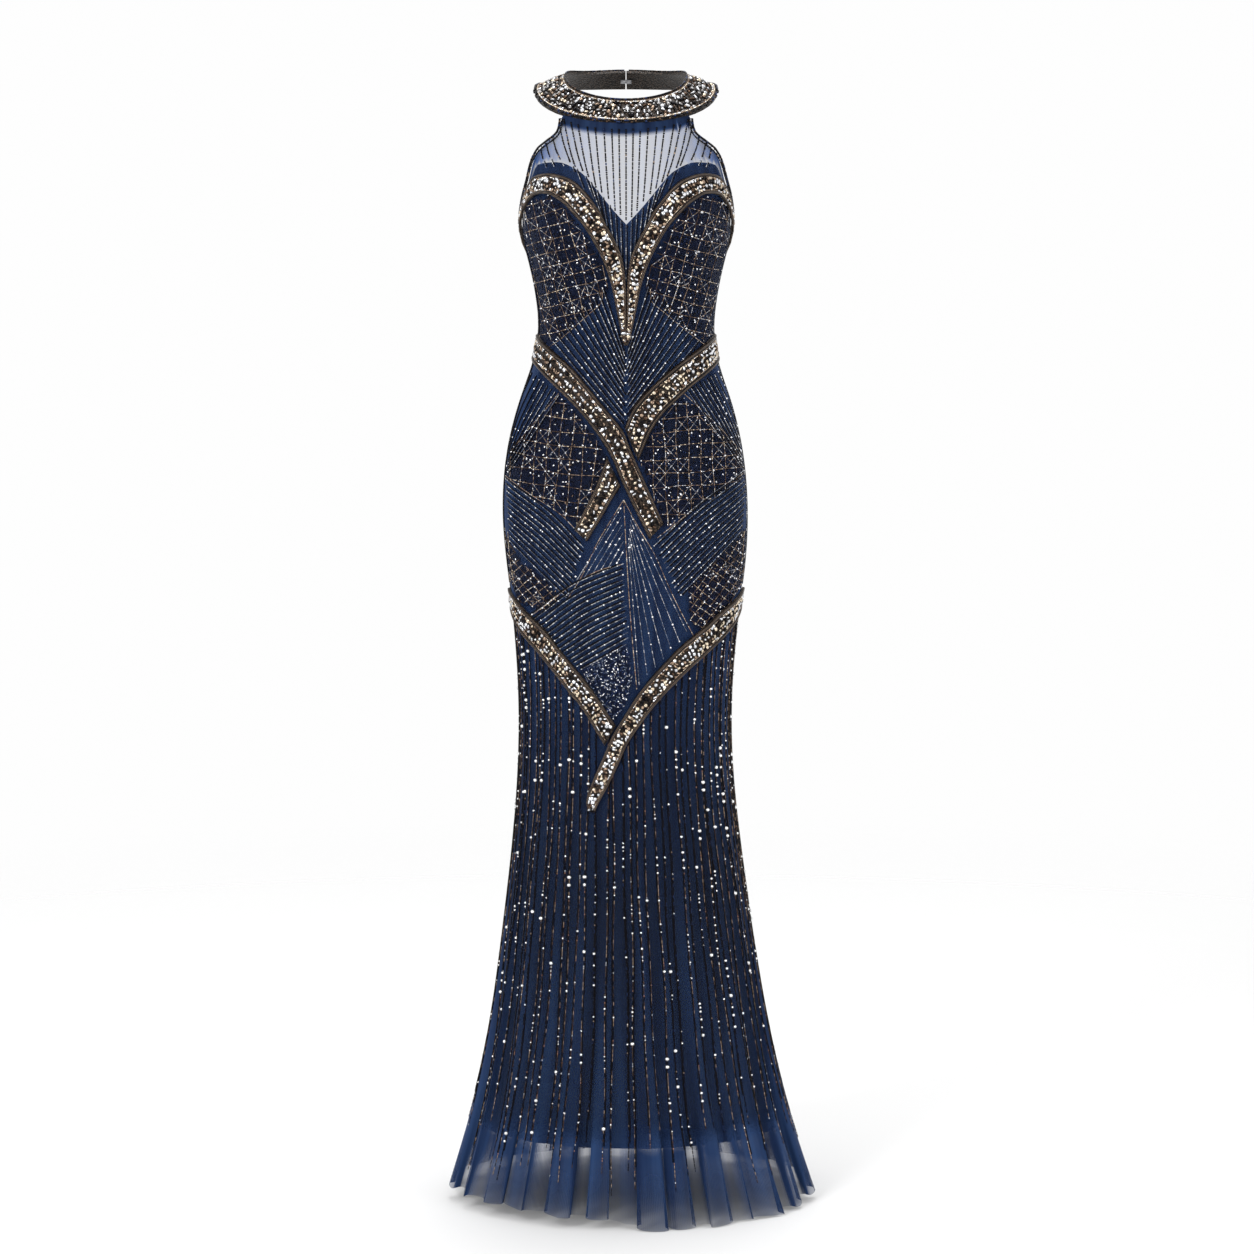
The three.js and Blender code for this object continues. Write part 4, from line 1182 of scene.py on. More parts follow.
def sweep(work, path, radius, sides):
    """A closed round cord along a path, added to a mesh in the making."""
    spots = [spot for spot in path if spot is not None]
    if len(spots) < 3:
        return
    rings = []
    for index, (place, normal) in enumerate(spots):
        before, after = spots[max(index - 1, 0)][0], spots[min(index + 1, len(spots) - 1)][0]
        heading = (after - before).normalized()
        side = normal.cross(heading).normalized()
        centre = place + normal * radius * CORD_RAISED
        ring = []
        for corner in range(sides):
            turn = 2 * math.pi * corner / sides
            outward = side * math.cos(turn) + normal * math.sin(turn)
            ring.append(work.verts.new(centre + outward * radius))
        rings.append(ring)
    for here, there in zip(rings, rings[1:]):
        for corner in range(sides):
            after = (corner + 1) % sides
            work.faces.new((here[corner], here[after], there[after], there[corner]))
    work.faces.new(list(reversed(rings[0])))
    work.faces.new(rings[-1])


def cord_piece(name, paths, radius, finish, sides=CORD_SIDES):
    """One mesh of several cords."""
    work = bmesh.new()
    for path in paths:
        sweep(work, path, radius, sides)
    bmesh.ops.recalc_face_normals(work, faces=work.faces)
    mesh = bpy.data.meshes.new(name)
    work.to_mesh(mesh)
    work.free()
    for face in mesh.polygons:
        face.use_smooth = True
    mesh.materials.append(finish)
    obj = bpy.data.objects.new(name, mesh)
    bpy.context.scene.collection.objects.link(obj)
    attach(obj, "root")
    print(name, len(mesh.polygons), "faces")


print("a cord has", CORD_SIDES, "sides and a thin one", THIN_CORD_SIDES)

# %% [markdown]
# ## Finish of the cords
# Cord is twisted from metallic threads, so its finish has slanted stripes of tone with a matching
# bump. The outer piping is bronze, the thin cord beside it black.

# %% Finish of the cords
def make_cord_finish(name, dark, light):
    """Twisted metallic cord: slanted stripes of tone with a matching bump."""
    material, tree, shader = new_material(name)
    place = add_node(tree, "ShaderNodeTexCoord")
    twist = add_node(tree, "ShaderNodeTexWave", {"Scale": 190.0, "Distortion": 2.0, "Detail": 2.0},
                     bands_direction="DIAGONAL")
    cloud = add_node(tree, "ShaderNodeTexNoise", {"Scale": 60.0})
    tone = ramp(tree, [(0.1, dark), (0.9, light)])
    both = add_node(tree, "ShaderNodeMath", operation="MULTIPLY")
    bump = add_node(tree, "ShaderNodeBump", {"Strength": 0.6, "Distance": 0.0006})
    join(tree, (place, "Object", twist, "Vector"), (place, "Object", cloud, "Vector"),
         (twist, "Fac", both, 0), (cloud, "Fac", both, 1), (both, "Value", tone, "Fac"),
         (tone, "Color", shader, "Base Color"), (twist, "Fac", bump, "Height"),
         (bump, "Normal", shader, "Normal"))
    set_values(shader, {"Metallic": 0.6, "Roughness": 0.34})
    return material


bronze_cord = make_cord_finish("bronze_cord", (0.020, 0.013, 0.009), (0.19, 0.135, 0.098))
black_cord = make_cord_finish("black_cord", (0.004, 0.004, 0.006), (0.03, 0.028, 0.035))
print("finishes:", bronze_cord.name, black_cord.name)

# %% [markdown]
# ## The bands in groups
# Bands that lie together are dressed together, so their stones make one mesh. The over band of a
# crossing hides the middle of the other, which is why the under band at the waist has two parts.

# %% The bands in groups
def backs(side):
    """The three plain bands on one side of the back: name, rows."""
    word = "left" if side < 0 else "right"
    bust_upper = lambda angle: back_edge(angle) - BACK_BUST_DROP
    bust_lower = lambda angle: bust_upper(angle) - BACK_BUST_WIDTH
    return [
        (f"back_bust_band_{word}", back_rows(side, bust_upper, bust_lower)),
        (f"back_waist_band_{word}", back_rows(side, bent(BACK_WAIST, 0), bent(BACK_WAIST, 1))),
        (f"back_hip_band_{word}", back_rows(side, bent(BACK_HIP, 0), bent(BACK_HIP, 1))),
    ]


BANDS = {
    "bust": [("bust_band_left", mirrored(BUST_BAND)), ("bust_band_right", BUST_BAND)],
    "waist": [("waist_band_over", WAIST_OVER), ("waist_band_under_upper", WAIST_UNDER_UPPER),
              ("waist_band_under_lower", WAIST_UNDER_LOWER)],
    "hip": [("hip_band_over", HIP_OVER), ("hip_band_under", HIP_UNDER)],
    "back_left": backs(-1),
    "back_right": backs(1),
}
print("bands:", sum(len(bands) for bands in BANDS.values()))

# %% [markdown]
# ## Stones of the bands
# A cord of bronze runs along each edge of a band, a string of small bright beads beside it, and
# crystals of mixed shapes fill the middle in lanes, set by hand with dark gaps between them.

# %% Stones of the bands
PIPING_RADIUS = 0.0015
INNER_CORD_RADIUS = 0.0009
PIPING_SHARES = (0.075, 0.925)
INNER_CORD_SHARES = (0.145, 0.855)
BRIGHT_SHARES = (0.185, 0.815)
STONE_PITCH = 5.7
LANE_PITCH = 5.3
STONE_MARGIN = 0.25
STONE_SLIP = 1.2
STONE_HEIGHT = 1.9


def band_width(rows, at):
    """Width of a band at a share of its length, in mm."""
    widths = [math.hypot((upper - lower) * SCALE_ROUND, high - low)
              for upper, high, lower, low in rows]
    return float(np.interp(at, np.linspace(0, 1, len(widths)), widths))


STONE_SORTS = [
    ("round", 4, 6.2, 5.9), ("oval", 3, 7.8, 4.6), ("bar", 5, 7.4, 2.9), ("small", 3, 3.6, 3.6),
]
STONE_TINTS = [
    ("white", 3), ("silver", 5), ("champagne", 5), ("bronze", 4), ("brown", 3), ("black", 3),
]


def pick_stone(tints=STONE_TINTS):
    """A random stone: length, width and tint."""
    _, _, length, width = chance.choices(STONE_SORTS, [sort[1] for sort in STONE_SORTS])[0]
    tint = chance.choices(tints, [tint[1] for tint in tints])[0][0]
    shade = chance.uniform(0.7, 1.15)
    grow = chance.uniform(0.8, 1.12)
    return length * grow, width * grow, [min(1, part * shade) for part in TINTS[tint]]


def fill_band(stones, strings, rows, tree):
    """Sets stones on a band and strings bright beads inside its piping."""
    lanes = max(2, round(band_width(rows, 0.5) * (1 - 2 * STONE_MARGIN) / LANE_PITCH) + 1)
    for lane in range(lanes):
        share = STONE_MARGIN + (1 - 2 * STONE_MARGIN) * lane / (lanes - 1)
        path = band_path(rows, share, tree, STONE_PITCH)
        for spot in path[1:-1]:
            if spot is None:
                continue
            length, width, tint = pick_stone()
            slip = Vector((chance.uniform(-1, 1), 0, chance.uniform(-1, 1))) * STONE_SLIP * MM
            place = spot[0] + slip - spot[1] * slip.dot(spot[1])
            turn = chance.uniform(0, math.pi)
            stones.add_one((place, spot[1]), turn, length, width, STONE_HEIGHT, tint)
    for share in BRIGHT_SHARES:
        lay(strings, band_path(rows, share, tree), "dull_rope", wide=0.75)


print("a stone every", STONE_PITCH, "mm along a band")

# %% [markdown]
# ## Filling the bands
# Every group gets its stones, its bright strings, its piping and its inner cords.

# %% Filling the bands
for group, bands in BANDS.items():
    stones, strings = Bag(STONE), Bag(BUGLE)
    piping, inner = [], []
    for name, rows in bands:
        band_tree = tree_of([nodes[name]])
        fill_band(stones, strings, rows, band_tree)
        piping += [band_path(rows, share, band_tree) for share in PIPING_SHARES]
        inner += [band_path(rows, share, band_tree) for share in INNER_CORD_SHARES]
    stones.make(f"{group}_stones", crystal_finish, "crystal_band")
    strings.make(f"{group}_bright_beads", crystal_finish, "crystal_band")
    cord_piece(f"{group}_piping", piping, PIPING_RADIUS, bronze_cord)
    cord_piece(f"{group}_inner_cord", inner, INNER_CORD_RADIUS, black_cord,
               THIN_CORD_SIDES)

# %% [markdown]
# ## Collar
# The halter collar is a stiff ring. Its inner edge has a black bead rope and a bronze cord, its
# outer edge a bright rope and a black one. Stones lie in rings between them. Places are found by
# a ray from above, along the slant of the ring.

# %% Places on the collar
COLLAR_INNER = {"side": 75, "front": 62, "back": 66, "heights": (1435, 1465, 1474)}
COLLAR_OUTER = {"side": 118, "front": 93, "back": 92, "heights": COLLAR_HEIGHTS}
COLLAR_END = 178.4
COLLAR_RAY = 0.02
collar_tree = tree_of([nodes["collar"]])


def collar_edge(edge, angle):
    """A point of one edge of the collar, in the frame."""
    turn = math.radians(angle)
    facing = math.cos(turn)
    front, side, back = edge["heights"]
    depth = edge["front"] if facing > 0 else edge["back"]
    if facing > 0:
        height = front + (side - front) * (1 - facing)
    else:
        height = side - (side - front) * facing * (1 + facing) ** 2 + (back - side) * facing**2
    return Vector((edge["side"] * math.sin(turn), -depth * facing, height - NECK_HEIGHT)) * MM


def collar_place(angle, share):
    """Place and normal on the top of the collar."""
    inner, outer = collar_edge(COLLAR_INNER, angle), collar_edge(COLLAR_OUTER, angle)
    along = collar_edge(COLLAR_OUTER, angle + 1) - collar_edge(COLLAR_OUTER, angle - 1)
    up = (outer - inner).cross(along).normalized()
    up = up if up.z > 0 else -up
    start = inner.lerp(outer, share) + up * COLLAR_RAY
    place, normal, _, _ = collar_tree.ray_cast(start, -up, 2 * COLLAR_RAY)
    return None if place is None else (place, normal if normal.dot(up) > 0 else -normal)


def collar_path(share, step=1.2):
    """Places round the collar at a share of its width."""
    count = int(2 * COLLAR_END / step)
    return [collar_place(-COLLAR_END + 2 * COLLAR_END * index / count, share)
            for index in range(count + 1)]


print("the collar runs from", -COLLAR_END, "to", COLLAR_END, "degrees")

# %% [markdown]
# ## Stones and ropes of the collar
# Stones are set in six rings with uneven steps, most of them silver and pewter with dark ones
# between. Ropes run along both edges of the ring, and a cord beside the inner one.

# %% Stones and ropes of the collar
COLLAR_TINTS = [("silver", 5), ("pewter", 8), ("champagne", 2), ("bronze", 2), ("brown", 3),
                ("black", 5)]
COLLAR_LANES = 6
COLLAR_FIRST, COLLAR_SPAN = 0.17, 0.66
COLLAR_PITCH = 6.2
COLLAR_STONE_LONG, COLLAR_STONE_WIDE, COLLAR_STONE_HEIGHT = 1.15, 1.1, 2.2
COLLAR_CORD_SHARE, COLLAR_CORD_RADIUS = 0.075, 0.0011
COLLAR_ROPES = [(0.115, "bright_rope", 0.8), (0.885, "bright_rope", 1.0), (0.035, "rope", 1.0),
                (0.965, "rope", 1.0)]
collar_stones, collar_beads = Bag(STONE), Bag(BUGLE)
for lane in range(COLLAR_LANES):
    share = COLLAR_FIRST + COLLAR_SPAN * lane / (COLLAR_LANES - 1)
    middle = collar_edge(COLLAR_INNER, 90).lerp(collar_edge(COLLAR_OUTER, 90), share)
    around = middle.x * 2 * math.pi
    count = int(around / (COLLAR_PITCH * MM))
    for index in range(count):
        angle = -COLLAR_END + 2 * COLLAR_END * (index + chance.uniform(0.2, 0.8)) / count
        spot = collar_place(angle, share + chance.uniform(-0.025, 0.025))
        if spot:
            length, width, tint = pick_stone(COLLAR_TINTS)
            turn = chance.uniform(0, math.pi)
            collar_stones.add_one(spot, turn, length * COLLAR_STONE_LONG,
                                  width * COLLAR_STONE_WIDE, COLLAR_STONE_HEIGHT, tint)
for share, kind, wide in COLLAR_ROPES:
    lay(collar_beads, collar_path(share), kind, wide=wide)
collar_stones.make("collar_stones", crystal_finish, "crystal_band")
collar_beads.make("collar_ropes", bead_finish, "bead_string")
collar_line = collar_path(COLLAR_CORD_SHARE)
cord_piece("collar_cord", [collar_line], COLLAR_CORD_RADIUS, bronze_cord)

# %% [markdown]
# ## Armholes and back edge
# Two strands of black beads edge the armhole. They start under the collar, pass under the arm and
# run along the low back to the zip.

# %% Edging
ARMHOLE = [
    (43.5, 1415), (45, 1396), (54, 1384), (62.5, 1375), (69, 1363), (73, 1351), (78, 1334),
    (84, 1317), (90, 1302),
]
EDGING_STRANDS = ((1.2, "rope", 1.15), (5.2, "dark", 1.7))
EDGING_RUNG_STEP = 3
RUNG_WIDTH = 0.0011


def edging_path(side, inset):
    """A strand along the edge of the armhole and the back, some millimetres inside the edge."""
    edge = ARMHOLE + [(float(angle), back_edge(angle)) for angle in np.linspace(96, BACK_TO, 14)]
    line = smooth_line([(angle * SCALE_ROUND, height) for angle, height in edge], PATH_STEP)
    spots = []
    for before, point, after in zip(line, line[1:], line[2:]):
        heading = (after - before).normalized()
        inward = Vector((heading.y, -heading.x))
        moved = point + inward * inset
        spots.append(round_place(edging_tree, side * moved.x / SCALE_ROUND, moved.y))
    return spots


edgings = [nodes[f"armhole_edging_{side}"] for side in ("left", "right")]
edging_tree = tree_of([*edgings, *net.values()])
edging_beads = Bag(BUGLE)
for side in (-1, 1):
    strands = [edging_path(side, inset) for inset, _, _ in EDGING_STRANDS]
    for strand, (_, kind, wide) in zip(strands, EDGING_STRANDS):
        lay(edging_beads, strand, kind, wide=wide)
    for outer, inner in list(zip(*strands))[::EDGING_RUNG_STEP]:
        if outer and inner:
            edging_beads.add([outer[0]], [inner[0]], [outer[1]], [RUNG_WIDTH], [RUNG_WIDTH],
                             [TINTS["navy"]])
edging = edging_beads.make("edging_beads", bead_finish, "bead_string")
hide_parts("armhole_edging_left", "armhole_edging_right")

# %% [markdown]
# ## Lines of the bodice
# Families of parallel strings fill the panels between the bands. Each family runs from a first to
# a last line, and the drawing gives both by their ends: millimetres across and above the floor.

# %% Families of lines
def fan(first, last, count, bow):
    """Lines of a family, from the first to the last, each bowed sideways by some millimetres."""
    lines = []
    for index in range(count):
        share = index / (count - 1)
        start = Vector(first[0]).lerp(Vector(last[0]), share)
        end = Vector(first[1]).lerp(Vector(last[1]), share)
        run = end - start
        middle = (start + end) / 2 + Vector((-run.y, run.x)).normalized() * bow * (1 - share)
        lines.append([start, middle, end])
    return lines


FAMILIES = [
    # chevrons between the bust bands and the crossing at the waist
    (((-30, 1198), (-1, 1108)), ((-94, 1128), (-1, 1020)), 12, 0, True),
    (((29, 1200), (0, 1108)), ((94, 1130), (0, 1020)), 12, 0, True),
    # lines at the sides of the waist
    (((-126, 1090), (-152, 1000)), ((-86, 1060), (-154, 955)), 9, -4, True),
    (((124, 1090), (151, 1000)), ((78, 1066), (153, 958)), 10, 4, True),
    # slanted lines below the hip lattices
    (((-156, 948), (-53, 864)), ((-150, 868), (-74, 798)), 12, 6, True),
    (((157, 962), (36, 868)), ((150, 882), (66, 800)), 12, -6, True),
    # the tent below the crossing
    (((-7, 916), (-64, 822)), ((-2, 864), (-14, 842)), 6, 0, False),
    (((6, 908), (80, 752)), ((3, 872), (17, 688)), 7, 0, False),
    # arches at the lower left
    (((-125, 772), (-2, 846)), ((-58, 708), (4, 744)), 16, 9, True),
]
DOTS_A_FAMILY_LINE = 3
bodice, shadows, bright_dots = Bag(BUGLE), Bag(SLIM), Bag(STONE)
for first, last, count, bow, shaded in FAMILIES:
    for line in fan(first, last, count, bow):
        path = front_path(line)
        lay(bodice, path, "silver")
        # painted shadow: a string of black beads beside the light one
        if shaded:
            lay(shadows, path, "shadow", aside=1.5, wide=1.45)
        spots = [spot for spot in path if spot]
        for _ in range(DOTS_A_FAMILY_LINE if spots else 0):
            size = chance.uniform(2.0, 3.6)
            bright_dots.add_one(chance.choice(spots), 0, size, size, size * 0.6, TINTS["white"])
print("families of lines:", len(FAMILIES))

# %% [markdown]
# ## Borders between the families
# A pale bronze string covers the place where two families of lines meet, as a maker would hide the
# ends of the threads.

# %% Borders between the families
BORDERS = [
    [(-157, 884), (-156, 862), (-154, 838), (-150, 812)],
    [(157, 884), (156, 862), (154, 838), (150, 812)],
    [(-153, 880), (-151, 850), (-146, 816)], [(153, 880), (151, 850), (146, 816)],
    [(-3, 927), (-23, 895), (-38, 869), (-56, 830), (-74, 800)],
    [(-3, 927), (18, 888), (37, 856), (54, 817), (69, 785), (88, 748)],
    [(-3, 927), (1, 850), (6, 773), (14, 680)],
    [(-124, 772), (-95, 796), (-65, 820), (-33, 837), (-3, 845)],
    [(-156, 952), (-124, 932), (-85, 908), (-55, 878)],
    [(157, 958), (121, 938), (82, 910), (40, 878)],
    [(-31, 1196), (-31, 1180), (-46, 1165), (-65, 1148), (-85, 1130), (-105, 1116)],
    [(31, 1196), (33, 1180), (50, 1165), (70, 1148), (92, 1130), (108, 1118)],
    [(-86, 1062), (-102, 1042), (-124, 1016), (-148, 985)],
    [(74, 1062), (95, 1042), (121, 1016), (148, 985)],
]
for border in BORDERS:
    lay(bodice, front_path(border), "pale_bronze")
print("borders:", len(BORDERS))

# %% [markdown]
# ## Yoke
# Dark strings run down the pale yoke and lean towards the middle. Where the lining begins behind
# the net the same strings turn bright.

# %% Strings of the yoke
YOKE_LINES = [
    ((-109, 1377), (-101, 1348)), ((-102, 1384), (-91, 1350)), ((-94, 1392), (-78, 1350)),
    ((-86, 1412), (-65, 1343)), ((-79, 1412), (-53, 1321)), ((-70, 1408), (-40, 1308)),
    ((-61, 1405), (-30, 1286)), ((-49, 1402), (-24, 1264)), ((-39, 1401), (-19, 1248)),
    ((-28, 1400), (-14, 1235)), ((-18, 1399), (-9.5, 1226)), ((-9, 1399), (-5, 1216)),
    ((0, 1399), (0, 1205)),
]
YOKE_HANG = 0.62


def over_lining(spot):
    """Whether a place on the front lies below the edge of the lining."""
    height = spot[0].z / MM + NECK_HEIGHT
    return height < lining_edge(angle_of(spot[0].x / MM, spot[0].y / MM, height))


yoke = Bag(BUGLE)
for top, bottom in YOKE_LINES:
    for side in ((-1, 1) if top[0] else (1,)):
        middle = (top[0] + (bottom[0] - top[0]) * (1 - YOKE_HANG), (top[1] + bottom[1]) / 2)
        line = [(-side * across, height) for across, height in (top, middle, bottom)]
        path = [spot for spot in front_path(line) if spot]
        upper = [spot for spot in path if not over_lining(spot)]
        lower = [spot for spot in path if over_lining(spot)]
        lay(yoke, upper, "dark", wide=1.6)
        lay(yoke, lower, "silver")
        lay(yoke, lower, "shadow", aside=1.6)
print("strings of the yoke:", 2 * len(YOKE_LINES) - 1)

# %% [markdown]
# ## Lattices
# Thin bronze threads cross in squares on a ground of black beads. Some squares have both their
# diagonals, which gives small stars. The rows of a cup rise towards the middle.

# %% Threads of a lattice
SWAY, SWAY_LENGTH = 0.9, 13
FULL_TURN = 6.28
KNOT_SHARE = 0.3


def lattice_line(bag, outline, start, heading, reach, kind):
    """Lays one thread of a lattice where it lies inside its outline."""
    sway = chance.uniform(0, FULL_TURN)
    run = []
    sideways = Vector((-heading.y, heading.x))
    for step in range(int(reach / PATH_STEP)):
        at = step * PATH_STEP
        point = start + heading * at + sideways * SWAY * math.sin(at / SWAY_LENGTH + sway)
        if inside(outline, point.x, point.y):
            run.append(on_front(point.x, point.y))
        elif run:
            lay(bag, run, kind)
            run = []
    lay(bag, run, kind)


def lattice(bag, outline, rows, columns, tilt, stars, kind="thread"):
    """Threads in rows and columns, turned by an angle, with stars in some of the squares."""
    turn = math.radians(tilt)
    right = Vector((math.cos(turn), math.sin(turn)))
    up = Vector((-right.y, right.x))
    centre = Vector((
        sum(point[0] for point in outline) / len(outline),
        sum(point[1] for point in outline) / len(outline),
    ))
    reach = max((Vector(point) - centre).length for point in outline) + rows
    all_rows = range(int(-reach / rows), int(reach / rows) + 1)
    all_columns = range(int(-reach / columns), int(reach / columns) + 1)
    for index in all_rows:
        start = centre + up * rows * index - right * reach
        lattice_line(bag, outline, start, right, 2 * reach, kind)
    for index in all_columns:
        start = centre + right * columns * index - up * reach
        lattice_line(bag, outline, start, up, 2 * reach, kind)
    for row in all_rows:
        for column in all_columns:
            corner = centre + up * rows * row + right * columns * column
            if inside(outline, corner.x, corner.y) and chance.random() < KNOT_SHARE:
                size = chance.uniform(2.0, 3.2)
                knot = on_front(corner.x, corner.y)
                if knot is None:
                    continue
                bright_dots.add_one(knot, 0, size, size, size * 0.8, TINTS["white"])
            far = corner + up * rows + right * columns
            middle = (corner + far) / 2
            if not inside(outline, middle.x, middle.y) or chance.random() > stars:
                continue
            for start, end in ((corner, far), (corner + up * rows, corner + right * columns)):
                if inside(outline, start.x, start.y) and inside(outline, end.x, end.y):
                    lay(bag, front_path([start, end]), "fine")


print("share of crossings with a bright knot:", KNOT_SHARE)

# %% [markdown]
# ## Loose beads
# The ground of a lattice is sewn with loose dark beads, a few bright ones among them. They lie at
# random, as if they had been strewn, and so do the short curls of the small middle field.

# %% Loose beads
def sprinkle(bag, outline, spacing, sorts):
    """Loose small beads inside an outline."""
    xs, ys = [point[0] for point in outline], [point[1] for point in outline]
    count = int((max(xs) - min(xs)) * (max(ys) - min(ys)) / spacing**2)
    for _ in range(count):
        across, height = chance.uniform(min(xs), max(xs)), chance.uniform(min(ys), max(ys))
        if inside(outline, across, height):
            length, width, tint, _ = chance.choices(sorts, [sort[3] for sort in sorts])[0]
            spot = on_front(across, height)
            if spot:
                bag.add_one(spot, chance.uniform(0, math.pi), length, width, width * 0.7,
                            TINTS[tint])


GROUND_BEADS = [(2.8, 1.2, "black", 8), (2.2, 1.2, "navy", 3), (1.8, 1.0, "silver", 0.8),
                (2.4, 1.0, "bronze", 1.0), (2.2, 2.2, "white", 0.8)]
CURL_BEADS = [(3.2, 0.8, "silver", 2), (2.4, 0.8, "steel", 3), (1.8, 1.8, "white", 1),
              (2.6, 1.2, "navy", 6)]
GROUND_SPACING, CURL_SPACING = 4.2, 2.6
print("sorts of loose beads:", len(GROUND_BEADS) + len(CURL_BEADS))

# %% [markdown]
# ## All the work of the bodice
# Each lattice has the width of its rows and columns, its tilt and its share of stars. After the
# lattices and their grounds, every bag of the bodice is full and becomes a mesh.

# %% All the work of the bodice
MESHES = [
    ("bust_left", 16.5, 13.0, 16, 0.35), ("bust_right", 16.5, 13.0, -16, 0.35),
    ("hip_left", 17.6, 15.4, -5, 0.35), ("hip_right", 17.6, 15.4, 2, 0.35),
    ("side_left", 9.5, 9.5, 42, 0.1), ("side_right", 9.5, 9.5, -38, 0.1),
]
threads, scatter = Bag(BUGLE), Bag(BUGLE)
for name, rows, columns, tilt, stars in MESHES:
    lattice(threads, LATTICES[name], rows, columns, tilt, stars)
for name, outline in LATTICES.items():
    if name == "vermicelli":
        sprinkle(scatter, outline, CURL_SPACING, CURL_BEADS)
    else:
        sprinkle(scatter, outline, GROUND_SPACING, GROUND_BEADS)
bodice.make("bodice_strings", bead_finish, "bead_string")
shadows.make("bodice_shadow_strings", bead_finish, "bead_string")
yoke.make("yoke_strings", bead_finish, "bead_string")
threads.make("lattice_threads", bead_finish, "bead_string")
scatter.make("ground_beads", crystal_finish, "bead_string")
bright_dots.make("bodice_dots", crystal_finish, "bead_string")

# %% [markdown]
# ## Paths of the skirt
# Long strings fall from the hip bands and follow the folds. They sway a little and end unevenly
# above the hem.

# %% Paths of the skirt
STRING_STEP = 5.0
STRING_ENDS = (34, 118)
SLOW_SWAY, SLOW_LENGTH = 0.5, 95
QUICK_SWAY, QUICK_LENGTH = 0.25, 33
hip_tops = sorted(
    [(upper, (high + low) / 2) for upper, high, lower, low in HIP_OVER[:11]]
    + [(upper, (high + low) / 2) for upper, high, lower, low in HIP_UNDER]
)


def skirt_top(angle):
    """Height where the strings of the skirt come out from under the band of the hip."""
    if abs(angle) > 90:
        return (bent(BACK_HIP, 0)(abs(angle)) + bent(BACK_HIP, 1)(abs(angle))) / 2
    return float(np.interp(angle, [row[0] for row in hip_tops], [row[1] for row in hip_tops]))


def skirt_string(angle):
    """Path of one string from the hip to near the hem."""
    top, bottom = skirt_top(angle), chance.uniform(*STRING_ENDS)
    slow, quick = chance.uniform(0, FULL_TURN), chance.uniform(0, FULL_TURN)
    path = []
    for height in np.arange(top, bottom, -STRING_STEP):
        sway = SLOW_SWAY * math.sin(height / SLOW_LENGTH + slow)
        sway += QUICK_SWAY * math.sin(height / QUICK_LENGTH + quick)
        path.append(round_place(skirt_tree, angle + sway, height))
    return path


skirt_tree = tree_of([net["skirt_front"], net["skirt_back_left"], net["skirt_back_right"]])
print("strings start at up to", max(round(height) for _, height in hip_tops), "mm")

# %% [markdown]
# ## Strings and dots of the skirt
# Most strings are bronze and brown, with a string of black beads beside them as painted shadow.
# Bright dots sit on them, alone or in short rows.

# %% Strings and dots of the skirt
SKIRT_LINES = 86
DOTS_A_LINE = 11
skirt_bags = {part: (Bag(BUGLE), Bag(SLIM), Bag(STONE)) for part in ("front", "back")}
DOT_SIZES, DOT_SHARES = (2.2, 3.2, 4.2, 5.6), (5, 5, 3, 2)
DOTS_IN_ROW, ROW_SHARES = (1, 2, 3), (12, 2, 1)
SHORTEST_STRING = 40
for index in range(SKIRT_LINES):
    angle = -179 + 358 * (index + chance.uniform(-0.25, 0.25)) / (SKIRT_LINES - 1)
    path = [spot for spot in skirt_string(angle) if spot]
    if len(path) < SHORTEST_STRING:
        continue
    strings, shades, dots = skirt_bags["front" if abs(angle) < 90 else "back"]
    lay(strings, path, chance.choices(["bronze", "dark"], [7, 3])[0], wide=0.95)
    lay(shades, path[:-6], "shadow", aside=chance.choice((-1.6, 1.6)), wide=1.1)
    for _ in range(DOTS_A_LINE):
        at = chance.randrange(4, len(path) - 8)
        size = chance.choices(DOT_SIZES, DOT_SHARES)[0]
        for step in range(chance.choices(DOTS_IN_ROW, ROW_SHARES)[0]):
            spot = path[min(at + 2 * step, len(path) - 1)]
            shade = chance.uniform(0.85, 1.0)
            dots.add_one(spot, 0, size * chance.uniform(0.9, 1.3), size, size * 0.6,
                         [shade, shade, shade])
for part, (strings, shades, dots) in skirt_bags.items():
    strings.make(f"skirt_strings_{part}", bead_finish, "bead_string")
    shades.make(f"skirt_shadow_strings_{part}", bead_finish, "bead_string")
    dots.make(f"skirt_dots_{part}", crystal_finish, "bead_string")

# %% [markdown]
# ## Back of the bodice
# The back carries plain upright strings between its bands, in the same spacing as the front.

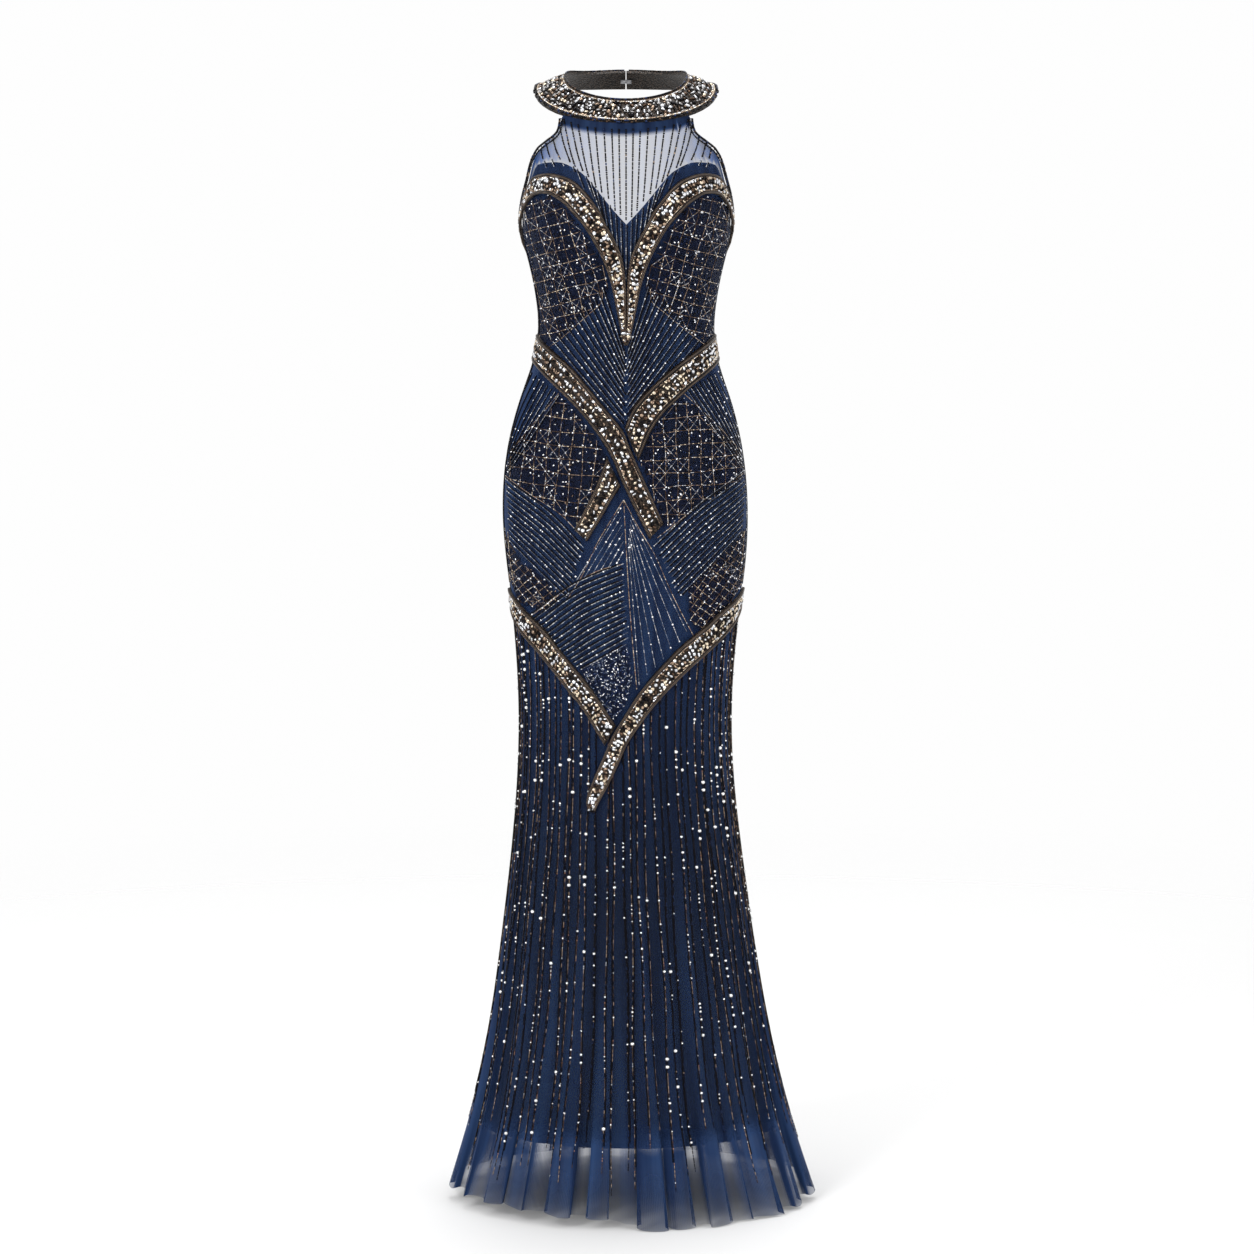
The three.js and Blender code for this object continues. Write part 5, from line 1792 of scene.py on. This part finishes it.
# %% Strings of the back
BACK_LINES = 22
BACK_FIRST, BACK_LAST = 92.5, 178
BELOW_EDGE = 24
BACK_DOTS = 3
back_strings, back_dots = Bag(SLIM), Bag(STONE)
for side in (-1, 1):
    for index in range(BACK_LINES):
        angle = BACK_FIRST + (BACK_LAST - BACK_FIRST) * index / (BACK_LINES - 1)
        top = back_edge(angle) - BELOW_EDGE
        bottom = skirt_top(angle)
        path = []
        for height in np.arange(top, bottom, -PATH_STEP * 1.5):
            sway = 0.3 * math.sin(height / 60 + index)
            path.append(round_place(outer_tree, side * (angle + sway), height))
        lay(back_strings, path, "silver" if index % 3 else "bronze")
        lay(back_strings, path, "shadow", aside=1.5, wide=1.2)
        for _ in range(BACK_DOTS):
            spot = path[chance.randrange(2, len(path) - 2)]
            if spot:
                back_dots.add_one(spot, 0, 2.2, 2.2, 1.3, TINTS["white"])
print("strings on each half of the back:", BACK_LINES)

# %% [markdown]
# ## Strings beside the side seam
# Two plain strings run down each side, just in front of the seam, where the drawing of the front
# turns away and the back begins.

# %% Strings beside the side seam
SIDE_ANGLES = (85.6, 88.2)
SIDE_TOP, SIDE_END = 1272, 806
for side in (-1, 1):
    for angle in SIDE_ANGLES:
        path = [round_place(outer_tree, side * angle, height)
                for height in np.arange(SIDE_TOP, SIDE_END, -PATH_STEP * 1.5)]
        lay(back_strings, path, "silver")
        lay(back_strings, path, "shadow", aside=1.5, wide=1.2)
back_strings.make("back_strings", bead_finish, "bead_string")
back_dots.make("back_dots", crystal_finish, "bead_string")

# %% [markdown]
# ## Riding, replacing and cloth sizes
# Every piece moves with the one body of the gown. The table gives for each cloth the size of the
# paper pattern that it would be cut from: the width and length of the smallest rectangle round it
# and its real area, and that area is printed beside the area of the hanging cloth. The upper edge
# of each cloth is curved and its sides are shaped, so the area is far smaller.

# %% Riding and cloth sizes
CUTS = {
    "front_upper": (net, 0.45, 0.90, 0.250, ["collar"]),
    "back_upper_left": (net, 0.24, 0.58, 0.087, ["net_front_upper"]),
    "back_upper_right": (net, 0.24, 0.58, 0.087, ["net_front_upper"]),
    "skirt_front": (net, 0.92, 0.82, 0.405, ["net_front_upper"]),
    "skirt_back_left": (net, 0.47, 0.82, 0.195, ["net_back_upper_left"]),
    "skirt_back_right": (net, 0.47, 0.82, 0.195, ["net_back_upper_right"]),
    "lining_front": (lining, 0.74, 1.27, 0.490, ["net_front_upper"]),
    "lining_back_left": (lining, 0.37, 1.20, 0.215, ["net_back_upper_left"]),
    "lining_back_right": (lining, 0.37, 1.20, 0.215, ["net_back_upper_right"]),
}
for name, (group, width, length, area, held_by) in CUTS.items():
    obj = group[name]
    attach(obj, "root")
    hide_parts(name)
    layers = 1 if group is net else 2
    measured = sum(face.area for face in obj.data.polygons) / layers
    print(obj.name, "hangs as", round(measured, 4), "m2, cut as", area, "m2")
